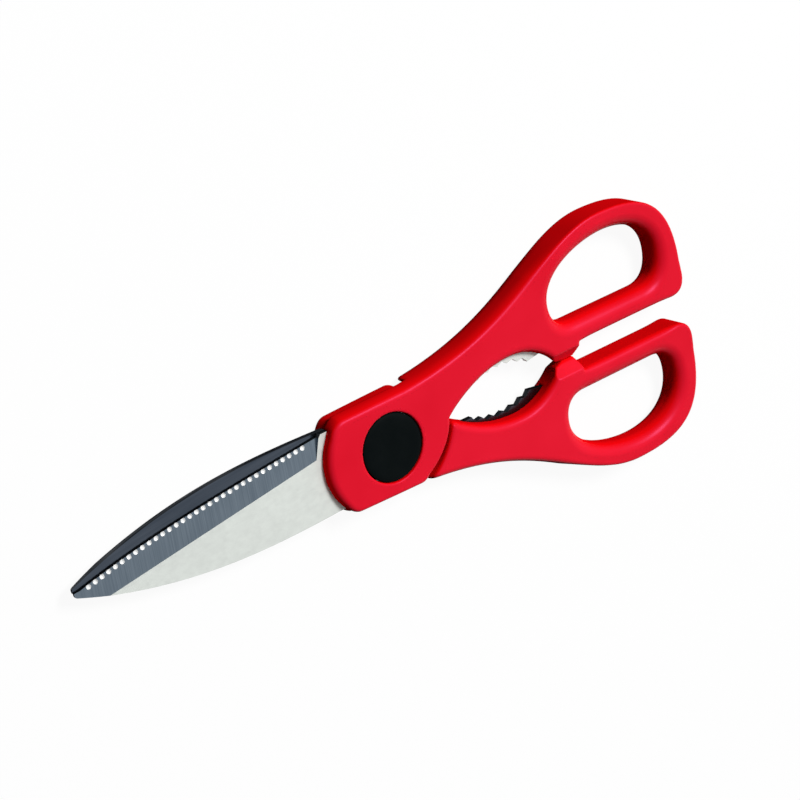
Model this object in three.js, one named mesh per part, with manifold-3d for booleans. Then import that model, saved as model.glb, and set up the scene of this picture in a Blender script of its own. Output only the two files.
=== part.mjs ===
// Household shears: two steel blades in moulded handles, turning on a shoulder screw under two caps.
// Millimetres. X runs along the tool (tips at -X, finger loops at +X), Z is up, the tool lies on Z = 0
// and the origin is where the pivot axis meets that plane.

import * as THREE from 'three';
import { mergeVertices } from 'three/addons/utils/BufferGeometryUtils.js';
import Module from 'manifold-3d';

// Thicknesses and gaps
const THICKNESS = 10.2; // over both handle faces
const BLADE_THICKNESS = 1.9;
const BLADE_GAP = 0.1; // between the flat inner faces of the two blades
const PARTING_GAP = 0.5; // between the two bosses at the pivot
const FIT = 0.3; // side clearance of steel in plastic, and of shafts in holes
const SEAT = 0.05; // clearance under a seated flat face

// Blade blank, in plan
const BLADE_REACH = 101.9; // pivot axis to tip
const SPINE_OFFSET = 11.9; // long axis to spine at the boss, also the radius of the pivot eye
const SPINE_ROOT = 17; // pivot axis to where the spine begins to curve
const SPINE_ROOT_PULL = 32; // how far the spine keeps its direction from its root
const SPINE_BELLY = 1.6; // how far it swells over that length
const SPINE_TIP_PULL = 28.4; // how far the spine keeps its direction from the tip
const SPINE_SLOPE = 0.36; // its slope at the tip
const SIDE_OFFSET = 12; // long axis to the blade's other side at the boss
const EDGE_DROP = 0.9; // the ground edge begins lower than that side by this
const EDGE_DROP_LENGTH = 0.8;
const EDGE_ROOT = 21; // pivot axis to the inner end of the cutting edge
const EDGE_ROOT_SLOPE = 0.1; // slope of the edge at its root
const EDGE_SLOPE = 0.25; // slope of the edge at the tip
const EDGE_PULL = 25; // how far the edge keeps its direction from each end
const TIP_BLUNT = 1.9; // length of the rounded tip
const TIP_BELOW = 1.8; // half width of the blade there, on the spine's side
const TIP_ABOVE = 0.2; // and on the edge's side
const TIP_CORNER = 0.5; // corner between spine and tip

// Ground bevel and serrated edge
const BEVEL_WIDTH = 5.5; // at the root of the edge
const BEVEL_TIP_BACK = 9.6; // tip to where the bevel line runs out at the spine
const BEVEL_TIP_BELOW = 4.2; // long axis to that place
const BEVEL_LEAN = 0.8; // the bevel's root end leans towards the tip by this
const BEVEL_OVERRUN = 0.4; // share by which the bevel's face is carried past the steel
const EDGE_LAND = 0.7; // thickness left at the cutting edge
const SERRATION_PITCH = 2.26;
const SERRATION_START = 26; // pivot axis to the first notch
const SERRATION_END_BACK = 3.4; // tip to the end of the notches
const SERRATION_RADIUS = 0.75; // of the round tool that cuts a notch
const SERRATION_DEPTH = 0.4;
const SERRATION_TILT = 40; // degrees that the tool tips down across the edge
const SERRATION_STROKE = 6; // length of the tool

// Boss round the pivot, and the step in the other handle that it swings past
const LIP = 1.8; // plastic beside the spine at the boss's front corner
const LIP_REAR = 2.4; // and at its rear corner
const SIDE_LIP = 1.7; // plastic on the other side
const BOSS_REACH = 21.9; // pivot axis to the rounded front end
const BOSS_END_RADIUS = 18.5;
const BOSS_CORNER = 3.2; // corners of the front end
const BOSS_REAR_CORNER = 1.6;
const STEP_RADIUS = 24.6;
const STEP_CENTRE_X = -2.2; // the step's curve is centred off the pivot, so the gap opens with the shears
const STEP_CENTRE_Y = 6.1;
const STEP_GAP = 0.6; // between boss and step at the jaw
const STEP_GAP_OUTER = 2; // and at the outer edge

// Nutcracker jaw: opening in the plastic, and steel teeth
const JAW_NEAR_HEIGHT = 1; // half height at its near end
const JAW_NEAR_PULL = 8; // how far the wall keeps its direction there
const JAW_NEAR_SLOPE = 0.64;
const JAW_LENGTH = 41.4;
const JAW_CROWN = 24.8; // near end to the widest place
const JAW_HALF_HEIGHT = 10;
const JAW_CROWN_PULL = 10; // how far the wall keeps its direction there, each way
const JAW_FAR_PULL = 1.2; // and at its far end
const TOOTH_COUNT = 7;
const TOOTH_PITCH = 3.7;
const TOOTH_ROOT_SHIFT = 0.5; // pitches from a tip to the root beside it
const TOOTH_DEPTH = 1;
const TOOTH_PROUD = 2.7; // tooth tips stand out of the plastic wall by this
const TOOTH_ARC_RADIUS = 24; // tips lie on this arc
const TOOTH_MIDDLE = 20.9; // near end of the jaw to the middle tooth
const JAW_LAND_RISE = 1.2; // rise of the plain land after the last tooth

// Tang inside the handle
const TANG_INNER = 4.3; // long axis to the tang's inner edge
const TANG_ROOT = 6; // pivot axis to where the tang leaves the blade's straight side
const TANG_SHOULDER = 14; // near end of the jaw to the highest place of the tang
const TANG_HEIGHT = 14; // long axis to that place
const TANG_END_DROP = 2; // tang end is lower by this
const TANG_END_MARGIN = 2.5; // steel ends this far short of the jaw's far end
const TANG_CORNER = 2;
const KEY_DIAMETER = 3.6; // holes through which plastic keys the steel
const KEY_NEAR = 4.5; // near end of the jaw to the first key

// Handle and finger loop
const NECK_START = 8; // pivot axis to where the outer edge begins to flare
const NECK_RISE = 0.3; // outer edge there above the boss's top edge
const NECK_PULL = 39.4; // how far it keeps its direction there
const NECK_SLOPE = 0.1;
const BRIDGE = 0.2; // jaw's far end to the near end of the finger hole
const HOLE_LENGTH = 43.4;
const HOLE_WIDTH = 23.6;
const HOLE_CROWN = 25.2; // near end of the hole to its highest place
const HOLE_CROWN_PULL = 10.8; // how far the hole keeps its direction there
const HOLE_NEAR_SIDE = 8; // upright near end above the bar
const HOLE_NEAR_PULL = 12.2;
const HOLE_NEAR_CORNER = 7;
const HOLE_FAR_SIDE = 9.5; // upright far end above the bar
const HOLE_FAR_PULL = 9.3;
const HOLE_FAR_CORNER = 7.9;
const BAR_OFFSET = 4.4; // long axis to the loop's straight bar
const BAR_WIDTH = 6.1;
const CROWN_WALL = 5.7; // plastic over the finger hole
const END_WALL = 8.2; // plastic past the finger hole
const LOOP_CROWN = 23.7; // near end of the hole to the loop's highest place
const LOOP_NEAR_PULL = 18.1; // how far the crown keeps its direction towards the neck
const LOOP_FAR_PULL = 16.5; // and towards the end
const LOOP_SIDE = 15; // long axis to where the end begins to curve over
const LOOP_SIDE_PULL = 21;
const LOOP_LEAN = 0.3; // the end leans in by this up to there
const LOOP_CORNER = 6; // corner between bar and end

// Stop blocks that meet when the shears are shut
const STOP_LENGTH = 7;
const STOP_GAP = 0.3; // between the two blocks
const STOP_SLOPE = 1.6; // length of the block's sloped end

// Rounded edges of the moulding
const ROUND_OUTER = 1.3;
const ROUND_BOSS_END = 1.4;
const ROUND_JAW = 2.4;
const ROUND_STOP = 3.4;
const ROUND_HOLE = 4.2;
const ROUND_STEP = 1.2;

// Pivot: caps, screw, nut and washers
const CAP_DIAMETER = 20;
const CAP_CLEARANCE = 0.3; // between cap and handle
const CAP_WALL = 1.2;
const CAP_RIM = 0.6; // fall of the crown at its rim
const CAP_RIM_WIDTH = 2;
const CAP_HEADROOM = 0.25; // inside, over the screw
const SCREW_DIAMETER = 6; // shoulder that the blades turn on
const THREAD_DIAMETER = 5;
const HEAD_DIAMETER = 11;
const HEAD_HEIGHT = 1.3;
const HEAD_SLOT_WIDTH = 1.2;
const HEAD_SLOT_DEPTH = 0.7;
const NUT_WIDTH = 9; // across flats
const NUT_HEIGHT = 1.3;
const NUT_SIDES = 6;
const WASHER_DIAMETER = 12;
const WASHER_THICKNESS = 0.6;
const SPRING_THICKNESS = 0.35;

// Smoothness of the faceted curves
const CURVE_PARTS = 16;
const CORNER_PARTS = 4;
const STEP_PARTS = 8;
const ROUND_PARTS = 3;
const TURN_PARTS = 32;
const NOTCH_PARTS = 8;
const MERGE = 1e-4; // points nearer than this are one
const NUDGE = 1e-6;
const BLEND_PASSES = 4; // how often the edge rounding is evened out
const BLEND_WEIGHT = 2; // weight of a point's own rounding against its two neighbours
const CROWDED_SHARE = 0.98; // a moved point nearer than this share of its depth has run past a corner

// Heights above the plane between the two blades
const HALF = THICKNESS / 2;
const BLADE_INNER = BLADE_GAP / 2;
const BLADE_OUTER = BLADE_INNER + BLADE_THICKNESS;
const WASHER_LOW = BLADE_OUTER + SEAT;
const WASHER_HIGH = WASHER_LOW + WASHER_THICKNESS;
const HEAD_LOW = WASHER_HIGH + SEAT;
const CAP_ROOF = HEAD_LOW + Math.max(HEAD_HEIGHT, NUT_HEIGHT) + CAP_HEADROOM;
const BEYOND = 2; // cutters reach this far past the faces that they cut

const wasm = await Module();
wasm.setup();

/** Turns a closed geometry into a solid to cut and join; ready-made shapes are merged first. */
function solid(geometry) {
  let bare = geometry;
  if (geometry.attributes.normal) {
    bare = geometry.clone();
    bare.deleteAttribute('normal');
    bare.deleteAttribute('uv');
    bare = mergeVertices(bare, MERGE);
  }
  const corners = [];
  const index = bare.index.array;
  for (let i = 0; i < index.length; i += 3) {
    const [a, b, c] = [index[i], index[i + 1], index[i + 2]];
    if (a !== b && b !== c && c !== a) {
      corners.push(a, b, c);
    }
  }
  return new wasm.Manifold(new wasm.Mesh({
    numProp: 3,
    vertProperties: Float32Array.from(bare.attributes.position.array),
    triVerts: Uint32Array.from(corners),
  }));
}

/** A named mesh of a finished solid, with its own material. */
function piece(name, body, finish) {
  const result = body.getMesh();
  const geometry = new THREE.BufferGeometry();
  geometry.setAttribute('position', new THREE.BufferAttribute(Float32Array.from(result.vertProperties), 3));
  geometry.setIndex(Array.from(result.triVerts));
  geometry.computeVertexNormals();
  const mesh = new THREE.Mesh(geometry, new THREE.MeshStandardMaterial(finish));
  mesh.name = name;
  return mesh;
}

/** Closed solid lofted upwards through rings of points that run anticlockwise, capped at both ends. */
function loft(rings) {
  const count = rings[0].length;
  const positions = rings.flat().flatMap((p) => [p.x, p.y, p.z]);
  const faces = [];
  for (let level = 0; level + 1 < rings.length; level += 1) {
    for (let i = 0; i < count; i += 1) {
      const next = (i + 1) % count;
      const low = level * count;
      const high = low + count;
      faces.push(low + i, low + next, high + next, low + i, high + next, high + i);
    }
  }
  const capFaces = (ring, start, upwards) => {
    // A tiny nudge keeps points of a straight stretch from being skipped.
    const flat = ring.map((p, i) => {
      return new THREE.Vector2(p.x + NUDGE * Math.sin(i), p.y + NUDGE * Math.cos(i));
    });
    for (const face of THREE.ShapeUtils.triangulateShape(flat, [])) {
      const anticlockwise = THREE.ShapeUtils.area(face.map((k) => flat[k])) > 0;
      const [a, b, c] = anticlockwise === upwards ? face : face.reverse();
      faces.push(start + a, start + b, start + c);
    }
  };
  capFaces(rings[0], 0, false);
  capFaces(rings[rings.length - 1], (rings.length - 1) * count, true);
  const geometry = new THREE.BufferGeometry();
  geometry.setAttribute('position', new THREE.Float32BufferAttribute(positions, 3));
  geometry.setIndex(faces);
  return geometry;
}

/** Distance in the plane from a point to a closed outline. */
function distanceTo(points, p) {
  let best = Infinity;
  points.forEach((a, i) => {
    const b = points[(i + 1) % points.length];
    const along = b.clone().sub(a);
    const share = p.clone().sub(a).dot(along) / along.lengthSq();
    const foot = a.clone().addScaledVector(along, THREE.MathUtils.clamp(share, 0, 1));
    best = Math.min(best, foot.distanceTo(p));
  });
  return best;
}

/** Moves each point of an anticlockwise outline inwards by its own depth, outwards where negative. */
function inset(points, depths) {
  const count = points.length;
  const at = (list, i) => list[(i + count) % count];
  const moved = points.map((p, i) => {
    const before = p.clone().sub(at(points, i - 1)).normalize();
    const after = at(points, i + 1).clone().sub(p).normalize();
    const normal = new THREE.Vector2(-before.y - after.y, before.x + after.x).normalize();
    const mitre = normal.dot(new THREE.Vector2(-after.y, after.x));
    return p.clone().addScaledVector(normal, depths[i] / mitre);
  });
  const crowded = moved.map((p, i) => distanceTo(points, p) < Math.abs(depths[i]) * CROWDED_SHARE);
  // Points that ran past a corner are spread evenly between their sound neighbours.
  return moved.map((p, i) => {
    if (!crowded[i]) {
      return p;
    }
    let [back, ahead] = [1, 1];
    while (at(crowded, i - back)) {
      back += 1;
    }
    while (at(crowded, i + ahead)) {
      ahead += 1;
    }
    return at(moved, i - back).clone().lerp(at(moved, i + ahead), back / (back + ahead));
  });
}

/** Lifts an outline to a height, or to one height for each point. */
function ringAt(points, heights) {
  return points.map((p, i) => new THREE.Vector3(p.x, p.y, Array.isArray(heights) ? heights[i] : heights));
}

/** Plate between two heights whose edges are rounded by each point's own radius on both faces. */
function roundedPlate(outline, low, high) {
  const rings = [];
  const addRing = (k, face, side) => {
    const turn = (k / ROUND_PARTS) * (Math.PI / 2);
    const depths = outline.rounds.map((r) => r * (1 - Math.cos(turn)));
    const heights = outline.rounds.map((r) => face - side * r * (1 - Math.sin(turn)));
    rings.push(ringAt(inset(outline.points, depths), heights));
  };
  for (let k = ROUND_PARTS; k >= 0; k -= 1) {
    addRing(k, low, -1);
  }
  for (let k = 0; k <= ROUND_PARTS; k += 1) {
    addRing(k, high, 1);
  }
  return solid(loft(rings));
}

/** Cutter of one outline that widens where it leaves a face, so that the edge it leaves is rounded. */
function flaredCutter(points, low, high, round, flareLow, flareHigh) {
  const rings = [];
  const addRing = (grow, height) => rings.push(ringAt(inset(points, points.map(() => -grow)), height));
  const spread = (k) => round * (1 - Math.cos((k / ROUND_PARTS) * (Math.PI / 2)));
  const rise = (k) => round * (1 - Math.sin((k / ROUND_PARTS) * (Math.PI / 2)));
  if (flareLow) {
    addRing(round, low - BEYOND);
    for (let k = ROUND_PARTS; k >= 0; k -= 1) {
      addRing(spread(k), low + rise(k));
    }
  } else {
    addRing(0, low);
  }
  if (flareHigh) {
    for (let k = 0; k <= ROUND_PARTS; k += 1) {
      addRing(spread(k), high - rise(k));
    }
    addRing(round, high + BEYOND);
  } else {
    addRing(0, high);
  }
  return solid(loft(rings));
}

/** Upright round bar about a vertical axis through (x, y). */
function roundBar(x, y, radius, low, high) {
  const geometry = new THREE.CylinderGeometry(radius, radius, high - low, TURN_PARTS);
  geometry.rotateX(Math.PI / 2);
  geometry.translate(x, y, (low + high) / 2);
  return solid(geometry);
}

/** Body of revolution about the pivot axis from (radius, height) pairs. */
function turned(profile) {
  const geometry = new THREE.LatheGeometry(profile.map(([r, z]) => new THREE.Vector2(r, z)), TURN_PARTS);
  geometry.rotateX(Math.PI / 2);
  return solid(geometry);
}

/** Collects an outline curve by curve, with the edge rounding of each stretch. */
class Outline {
  constructor(x, y) {
    this.pen = new THREE.Vector2(x, y);
    this.points = [];
    this.rounds = [];
  }

  /** Adds a curve, without its last point, which the next curve brings. */
  add(curve, parts, round) {
    const run = curve.getPoints(parts);
    this.pen = run.pop();
    this.points.push(...run);
    this.rounds.push(...run.map(() => round));
    return this;
  }

  line(x, y, round = 0, parts = 1) {
    return this.add(new THREE.LineCurve(this.pen, new THREE.Vector2(x, y)), parts, round);
  }

  corner(cx, cy, x, y, round = 0) {
    const [control, end] = [new THREE.Vector2(cx, cy), new THREE.Vector2(x, y)];
    return this.add(new THREE.QuadraticBezierCurve(this.pen, control, end), CORNER_PARTS, round);
  }

  bend(ax, ay, bx, by, x, y, round = 0) {
    const [a, b, end] = [new THREE.Vector2(ax, ay), new THREE.Vector2(bx, by), new THREE.Vector2(x, y)];
    return this.add(new THREE.CubicBezierCurve(this.pen, a, b, end), CURVE_PARTS, round);
  }

  arc(cx, cy, radius, from, to, round = 0) {
    const curve = new THREE.EllipseCurve(cx, cy, radius, radius, from, to, to < from);
    return this.add(curve, CURVE_PARTS, round);
  }

  /** Evens out the rounding where stretches of different rounding meet. */
  blendRounds() {
    const count = this.rounds.length;
    for (let pass = 0; pass < BLEND_PASSES; pass += 1) {
      this.rounds = this.rounds.map((r, i, all) => {
        const beside = all[(i + count - 1) % count] + all[(i + 1) % count];
        return (beside + BLEND_WEIGHT * r) / (BLEND_WEIGHT + 2);
      });
    }
    return this;
  }
}

// Places worked out from the sizes above
const EDGE_OFFSET = SIDE_OFFSET - EDGE_DROP;
const BOSS_TOP = SIDE_OFFSET + SIDE_LIP;
const BOSS_BOTTOM = -(SPINE_OFFSET + LIP);
const BOSS_BOTTOM_REAR = -(SPINE_OFFSET + LIP_REAR);
const TOOTH_TIP = JAW_HALF_HEIGHT - TOOTH_PROUD;

/** Point on a handle's step, drawn back by a gap; side -1 is this half's own step, 1 the other's. */
function stepPoint(turn, gap, side) {
  const radius = STEP_RADIUS - gap;
  return [STEP_CENTRE_X + radius * Math.cos(turn), side * (STEP_CENTRE_Y + radius * Math.sin(turn))];
}
const JAW_TURN = Math.asin((JAW_NEAR_HEIGHT - STEP_CENTRE_Y) / (STEP_RADIUS - STEP_GAP));
const [JAW_NEAR] = stepPoint(JAW_TURN, STEP_GAP, 1);
const JAW_FAR = JAW_NEAR + JAW_LENGTH;
const HOLE_NEAR = JAW_FAR + BRIDGE;
const HOLE_FAR = HOLE_NEAR + HOLE_LENGTH;
const HOLE_BOTTOM = BAR_OFFSET + BAR_WIDTH;
const HOLE_TOP = HOLE_BOTTOM + HOLE_WIDTH;
const LOOP_END = HOLE_FAR + END_WALL;
const LOOP_TOP = HOLE_TOP + CROWN_WALL;

/** Tooth tip (depth 0) or root on the jaw's arc, counted in pitches from the middle tooth. */
function toothPoint(pitches, depth) {
  const turn = (pitches * TOOTH_PITCH) / TOOTH_ARC_RADIUS;
  const radius = TOOTH_ARC_RADIUS + depth;
  const centreY = TOOTH_TIP - TOOTH_ARC_RADIUS;
  return [JAW_NEAR + TOOTH_MIDDLE + radius * Math.sin(turn), centreY + radius * Math.cos(turn)];
}

/** Cutting edge in plan, from its root to the tip. */
function edgeCurve() {
  const tip = -BLADE_REACH + TIP_BLUNT;
  return new THREE.CubicBezierCurve(
    new THREE.Vector2(-EDGE_ROOT, EDGE_OFFSET),
    new THREE.Vector2(-EDGE_ROOT - EDGE_PULL, EDGE_OFFSET - EDGE_PULL * EDGE_ROOT_SLOPE),
    new THREE.Vector2(tip + EDGE_PULL, TIP_ABOVE + EDGE_PULL * EDGE_SLOPE),
    new THREE.Vector2(tip, TIP_ABOVE),
  );
}

/** Outline of a steel blank: tip, spine, pivot eye, toothed jaw, tang, cutting edge. */
function blankOutline() {
  const tip = -BLADE_REACH + TIP_BLUNT;
  const tangEnd = JAW_FAR - TANG_END_MARGIN;
  const tangTop = TANG_HEIGHT - TANG_END_DROP;
  const noseLow = TIP_BLUNT * SPINE_SLOPE - TIP_BELOW;
  const outline = new Outline(tip, -TIP_BELOW)
    .bend(
      tip + SPINE_TIP_PULL, -TIP_BELOW - SPINE_TIP_PULL * SPINE_SLOPE,
      -SPINE_ROOT - SPINE_ROOT_PULL, -SPINE_OFFSET - SPINE_BELLY,
      -SPINE_ROOT, -SPINE_OFFSET,
    )
    .line(0, -SPINE_OFFSET)
    .arc(0, 0, SPINE_OFFSET, -Math.PI / 2, Math.asin(TANG_INNER / SPINE_OFFSET));
  const reach = (TOOTH_COUNT - 1) / 2;
  outline.line(...toothPoint(-reach - TOOTH_ROOT_SHIFT, TOOTH_DEPTH));
  for (let tooth = -reach; tooth < reach; tooth += 1) {
    outline.line(...toothPoint(tooth, 0));
    outline.line(...toothPoint(tooth + TOOTH_ROOT_SHIFT, TOOTH_DEPTH));
  }
  const lastTip = toothPoint(reach, 0);
  return outline
    .line(...lastTip)
    .line(tangEnd, lastTip[1] + JAW_LAND_RISE)
    .line(tangEnd, tangTop - TANG_CORNER)
    .corner(tangEnd, tangTop, tangEnd - TANG_CORNER, tangTop)
    .line(JAW_NEAR + TANG_SHOULDER, TANG_HEIGHT)
    .line(TANG_ROOT, SIDE_OFFSET)
    .line(-EDGE_ROOT + EDGE_DROP_LENGTH, SIDE_OFFSET)
    .line(-EDGE_ROOT, EDGE_OFFSET)
    .add(edgeCurve(), CURVE_PARTS, 0)
    .corner(-BLADE_REACH, TIP_ABOVE / 2, -BLADE_REACH, 0)
    .line(-BLADE_REACH, noseLow + TIP_CORNER)
    .corner(-BLADE_REACH, noseLow, -BLADE_REACH + TIP_CORNER, noseLow - TIP_CORNER * SPINE_SLOPE)
    .line(tip, -TIP_BELOW);
}

/** Where plastic keys the tang. */
const KEY_PLACES = [
  [JAW_NEAR + KEY_NEAR, (TANG_INNER + TANG_HEIGHT) / 2],
  [JAW_NEAR + TOOTH_MIDDLE, (TOOTH_TIP + TOOTH_DEPTH + TANG_HEIGHT) / 2],
];

/** Cutter for the bevel: a ruled face from the bevel line on the flat side to the cutting edge. */
function bevelCutter() {
  const edge = edgeCurve().getPoints(CURVE_PARTS);
  const tip = edge[edge.length - 1];
  edge.push(new THREE.Vector2(tip.x - TIP_BLUNT - BEYOND, tip.y - (TIP_BLUNT + BEYOND) * EDGE_SLOPE));
  const rootY = EDGE_OFFSET - BEVEL_WIDTH;
  const slope = (rootY + BEVEL_TIP_BELOW) / (BLADE_REACH - BEVEL_TIP_BACK - EDGE_ROOT);
  const bevelLine = edge.map((p) => new THREE.Vector2(p.x, rootY + (p.x + EDGE_ROOT) * slope));
  bevelLine[0].x -= BEVEL_LEAN;
  const far = EDGE_OFFSET + BEVEL_OVERRUN * BEVEL_WIDTH + BEYOND;
  const rootEnd = new THREE.Vector2((BEVEL_LEAN * (far - EDGE_OFFSET)) / BEVEL_WIDTH - EDGE_ROOT, far);
  const level = (share) => {
    const ruled = edge.map((p, i) => p.clone().lerp(bevelLine[i], share));
    const corners = [new THREE.Vector2(ruled[ruled.length - 1].x, far), rootEnd];
    const height = THREE.MathUtils.lerp(BLADE_INNER + EDGE_LAND, BLADE_OUTER, share);
    return ringAt([...ruled, ...corners].reverse(), height);
  };
  return solid(loft([level(-BEVEL_OVERRUN), level(1 + BEVEL_OVERRUN)]));
}

/** Round tools that cut the serration across the edge, one for each notch. */
function serrationCutters() {
  const edge = edgeCurve();
  const length = edge.getLength();
  const tilt = THREE.MathUtils.degToRad(SERRATION_TILT);
  const run = BLADE_REACH - SERRATION_END_BACK - SERRATION_START;
  const count = Math.floor(run / SERRATION_PITCH) + 1;
  return Array.from({ length: count }, (_, k) => {
    const share = (SERRATION_START - EDGE_ROOT + k * SERRATION_PITCH) / length;
    const at = edge.getPointAt(share);
    const along = edge.getTangentAt(share);
    const across = new THREE.Vector2(along.y, -along.x).multiplyScalar(Math.cos(tilt));
    const stroke = new THREE.Vector3(across.x, across.y, -Math.sin(tilt));
    const radius = SERRATION_RADIUS;
    const tool = new THREE.CylinderGeometry(radius, radius, SERRATION_STROKE, NOTCH_PARTS);
    tool.applyQuaternion(new THREE.Quaternion().setFromUnitVectors(new THREE.Vector3(0, 1, 0), stroke));
    tool.translate(at.x, at.y, BLADE_INNER + EDGE_LAND + radius - SERRATION_DEPTH);
    return solid(tool);
  });
}

/** Steel blade, with or without a serrated edge. */
function bladeBody(serrated) {
  const { points } = blankOutline();
  let body = solid(loft([ringAt(points, BLADE_INNER), ringAt(points, BLADE_OUTER)]));
  const cutters = [bevelCutter(), roundBar(0, 0, SCREW_DIAMETER / 2 + FIT, -HALF, HALF)];
  for (const [x, y] of KEY_PLACES) {
    cutters.push(roundBar(x, y, KEY_DIAMETER / 2, -HALF, HALF));
  }
  if (serrated) {
    cutters.push(...serrationCutters());
  }
  for (const cutter of cutters) {
    body = body.subtract(cutter);
  }
  return body;
}

/** Outline of a handle seen on its boss's face: boss, jaw wall, stop block, finger loop, neck. */
function handleOutline() {
  const endCentre = BOSS_END_RADIUS - BOSS_REACH;
  const endCorner = (y) => endCentre - Math.sqrt(BOSS_END_RADIUS ** 2 - y ** 2);
  const endTurn = (y) => Math.PI - Math.asin(y / BOSS_END_RADIUS);
  const [topY, bottomY] = [BOSS_TOP - BOSS_CORNER, BOSS_BOTTOM + BOSS_CORNER];
  const [topX, bottomX] = [endCorner(topY), endCorner(bottomY)];
  const topControl = topX + (BOSS_CORNER * topY) / (endCentre - topX);
  const bottomControl = bottomX - (BOSS_CORNER * bottomY) / (endCentre - bottomX);
  const rearHeight = BOSS_BOTTOM_REAR + BOSS_REAR_CORNER;
  const rearTurn = Math.asin((rearHeight - STEP_CENTRE_Y) / (STEP_RADIUS - STEP_GAP_OUTER));
  const [rearX, rearY] = stepPoint(rearTurn, STEP_GAP_OUTER, 1);
  const rearRun = rearX - BOSS_REAR_CORNER;
  const outline = new Outline(bottomControl + BOSS_CORNER, BOSS_BOTTOM)
    .line(rearRun - BOSS_REAR_CORNER, BOSS_BOTTOM_REAR, ROUND_OUTER, CORNER_PARTS)
    .corner(rearRun, BOSS_BOTTOM_REAR, rearX, rearY, ROUND_OUTER);
  for (let k = 1; k <= STEP_PARTS; k += 1) {
    const share = k / STEP_PARTS;
    const gap = THREE.MathUtils.lerp(STEP_GAP_OUTER, STEP_GAP, share);
    outline.line(...stepPoint(THREE.MathUtils.lerp(rearTurn, JAW_TURN, share), gap, 1), ROUND_OUTER);
  }
  const stopY = STOP_GAP / 2;
  const stopEnd = JAW_FAR + STOP_LENGTH;
  const crown = JAW_NEAR + JAW_CROWN;
  const loopCrown = HOLE_NEAR + LOOP_CROWN;
  return outline
    .bend(
      JAW_NEAR + JAW_NEAR_PULL, JAW_NEAR_HEIGHT + JAW_NEAR_PULL * JAW_NEAR_SLOPE,
      crown - JAW_CROWN_PULL, JAW_HALF_HEIGHT, crown, JAW_HALF_HEIGHT, ROUND_JAW,
    )
    .bend(crown + JAW_CROWN_PULL, JAW_HALF_HEIGHT, JAW_FAR, stopY + JAW_FAR_PULL, JAW_FAR, stopY, ROUND_JAW)
    .line(stopEnd, stopY, ROUND_STOP)
    .line(stopEnd + STOP_SLOPE, BAR_OFFSET, ROUND_STOP)
    .line(LOOP_END - LOOP_CORNER, BAR_OFFSET, ROUND_OUTER, CURVE_PARTS)
    .corner(LOOP_END, BAR_OFFSET, LOOP_END, BAR_OFFSET + LOOP_CORNER, ROUND_OUTER)
    .line(LOOP_END - LOOP_LEAN, LOOP_SIDE, ROUND_OUTER, CORNER_PARTS)
    .bend(
      LOOP_END - LOOP_LEAN, LOOP_SIDE + LOOP_SIDE_PULL,
      loopCrown + LOOP_FAR_PULL, LOOP_TOP, loopCrown, LOOP_TOP, ROUND_OUTER,
    )
    .bend(
      loopCrown - LOOP_NEAR_PULL, LOOP_TOP,
      NECK_START + NECK_PULL, BOSS_TOP + NECK_RISE + NECK_PULL * NECK_SLOPE,
      NECK_START, BOSS_TOP + NECK_RISE, ROUND_OUTER,
    )
    .line(topControl + BOSS_CORNER, BOSS_TOP, ROUND_OUTER, CURVE_PARTS)
    .corner(topControl, BOSS_TOP, topX, topY, ROUND_OUTER)
    .arc(endCentre, 0, BOSS_END_RADIUS, endTurn(topY), endTurn(bottomY), ROUND_BOSS_END)
    .corner(bottomControl, BOSS_BOTTOM, bottomControl + BOSS_CORNER, BOSS_BOTTOM, ROUND_OUTER)
    .blendRounds();
}

/** Outline of the finger hole: straight along the bar, arched over the fingers. */
function holeOutline() {
  const crown = HOLE_NEAR + HOLE_CROWN;
  const nearSide = HOLE_BOTTOM + HOLE_NEAR_SIDE;
  const farSide = HOLE_BOTTOM + HOLE_FAR_SIDE;
  return new Outline(HOLE_NEAR + HOLE_NEAR_CORNER, HOLE_BOTTOM)
    .line(HOLE_FAR - HOLE_FAR_CORNER, HOLE_BOTTOM)
    .corner(HOLE_FAR, HOLE_BOTTOM, HOLE_FAR, farSide)
    .bend(HOLE_FAR, farSide + HOLE_FAR_PULL, crown + HOLE_CROWN_PULL, HOLE_TOP, crown, HOLE_TOP)
    .bend(crown - HOLE_CROWN_PULL, HOLE_TOP, HOLE_NEAR, nearSide + HOLE_NEAR_PULL, HOLE_NEAR, nearSide)
    .corner(HOLE_NEAR, HOLE_BOTTOM, HOLE_NEAR + HOLE_NEAR_CORNER, HOLE_BOTTOM);
}

/** Room under the boss for the other half, bounded by this handle's own step. */
function bossRoom() {
  const turnAt = (y) => Math.asin((y - STEP_CENTRE_Y) / STEP_RADIUS);
  const [from, to] = [turnAt(-BOSS_TOP - BEYOND), turnAt(-BOSS_BOTTOM_REAR + BEYOND)];
  const step = Array.from({ length: CURVE_PARTS + 1 }, (_, k) => {
    return new THREE.Vector2(...stepPoint(THREE.MathUtils.lerp(to, from, k / CURVE_PARTS), 0, -1));
  });
  const ahead = -BOSS_REACH - BEYOND;
  step.push(new THREE.Vector2(ahead, step[step.length - 1].y), new THREE.Vector2(ahead, step[0].y));
  return flaredCutter(step, -HALF, PARTING_GAP / 2, ROUND_STEP, true, false);
}

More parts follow.
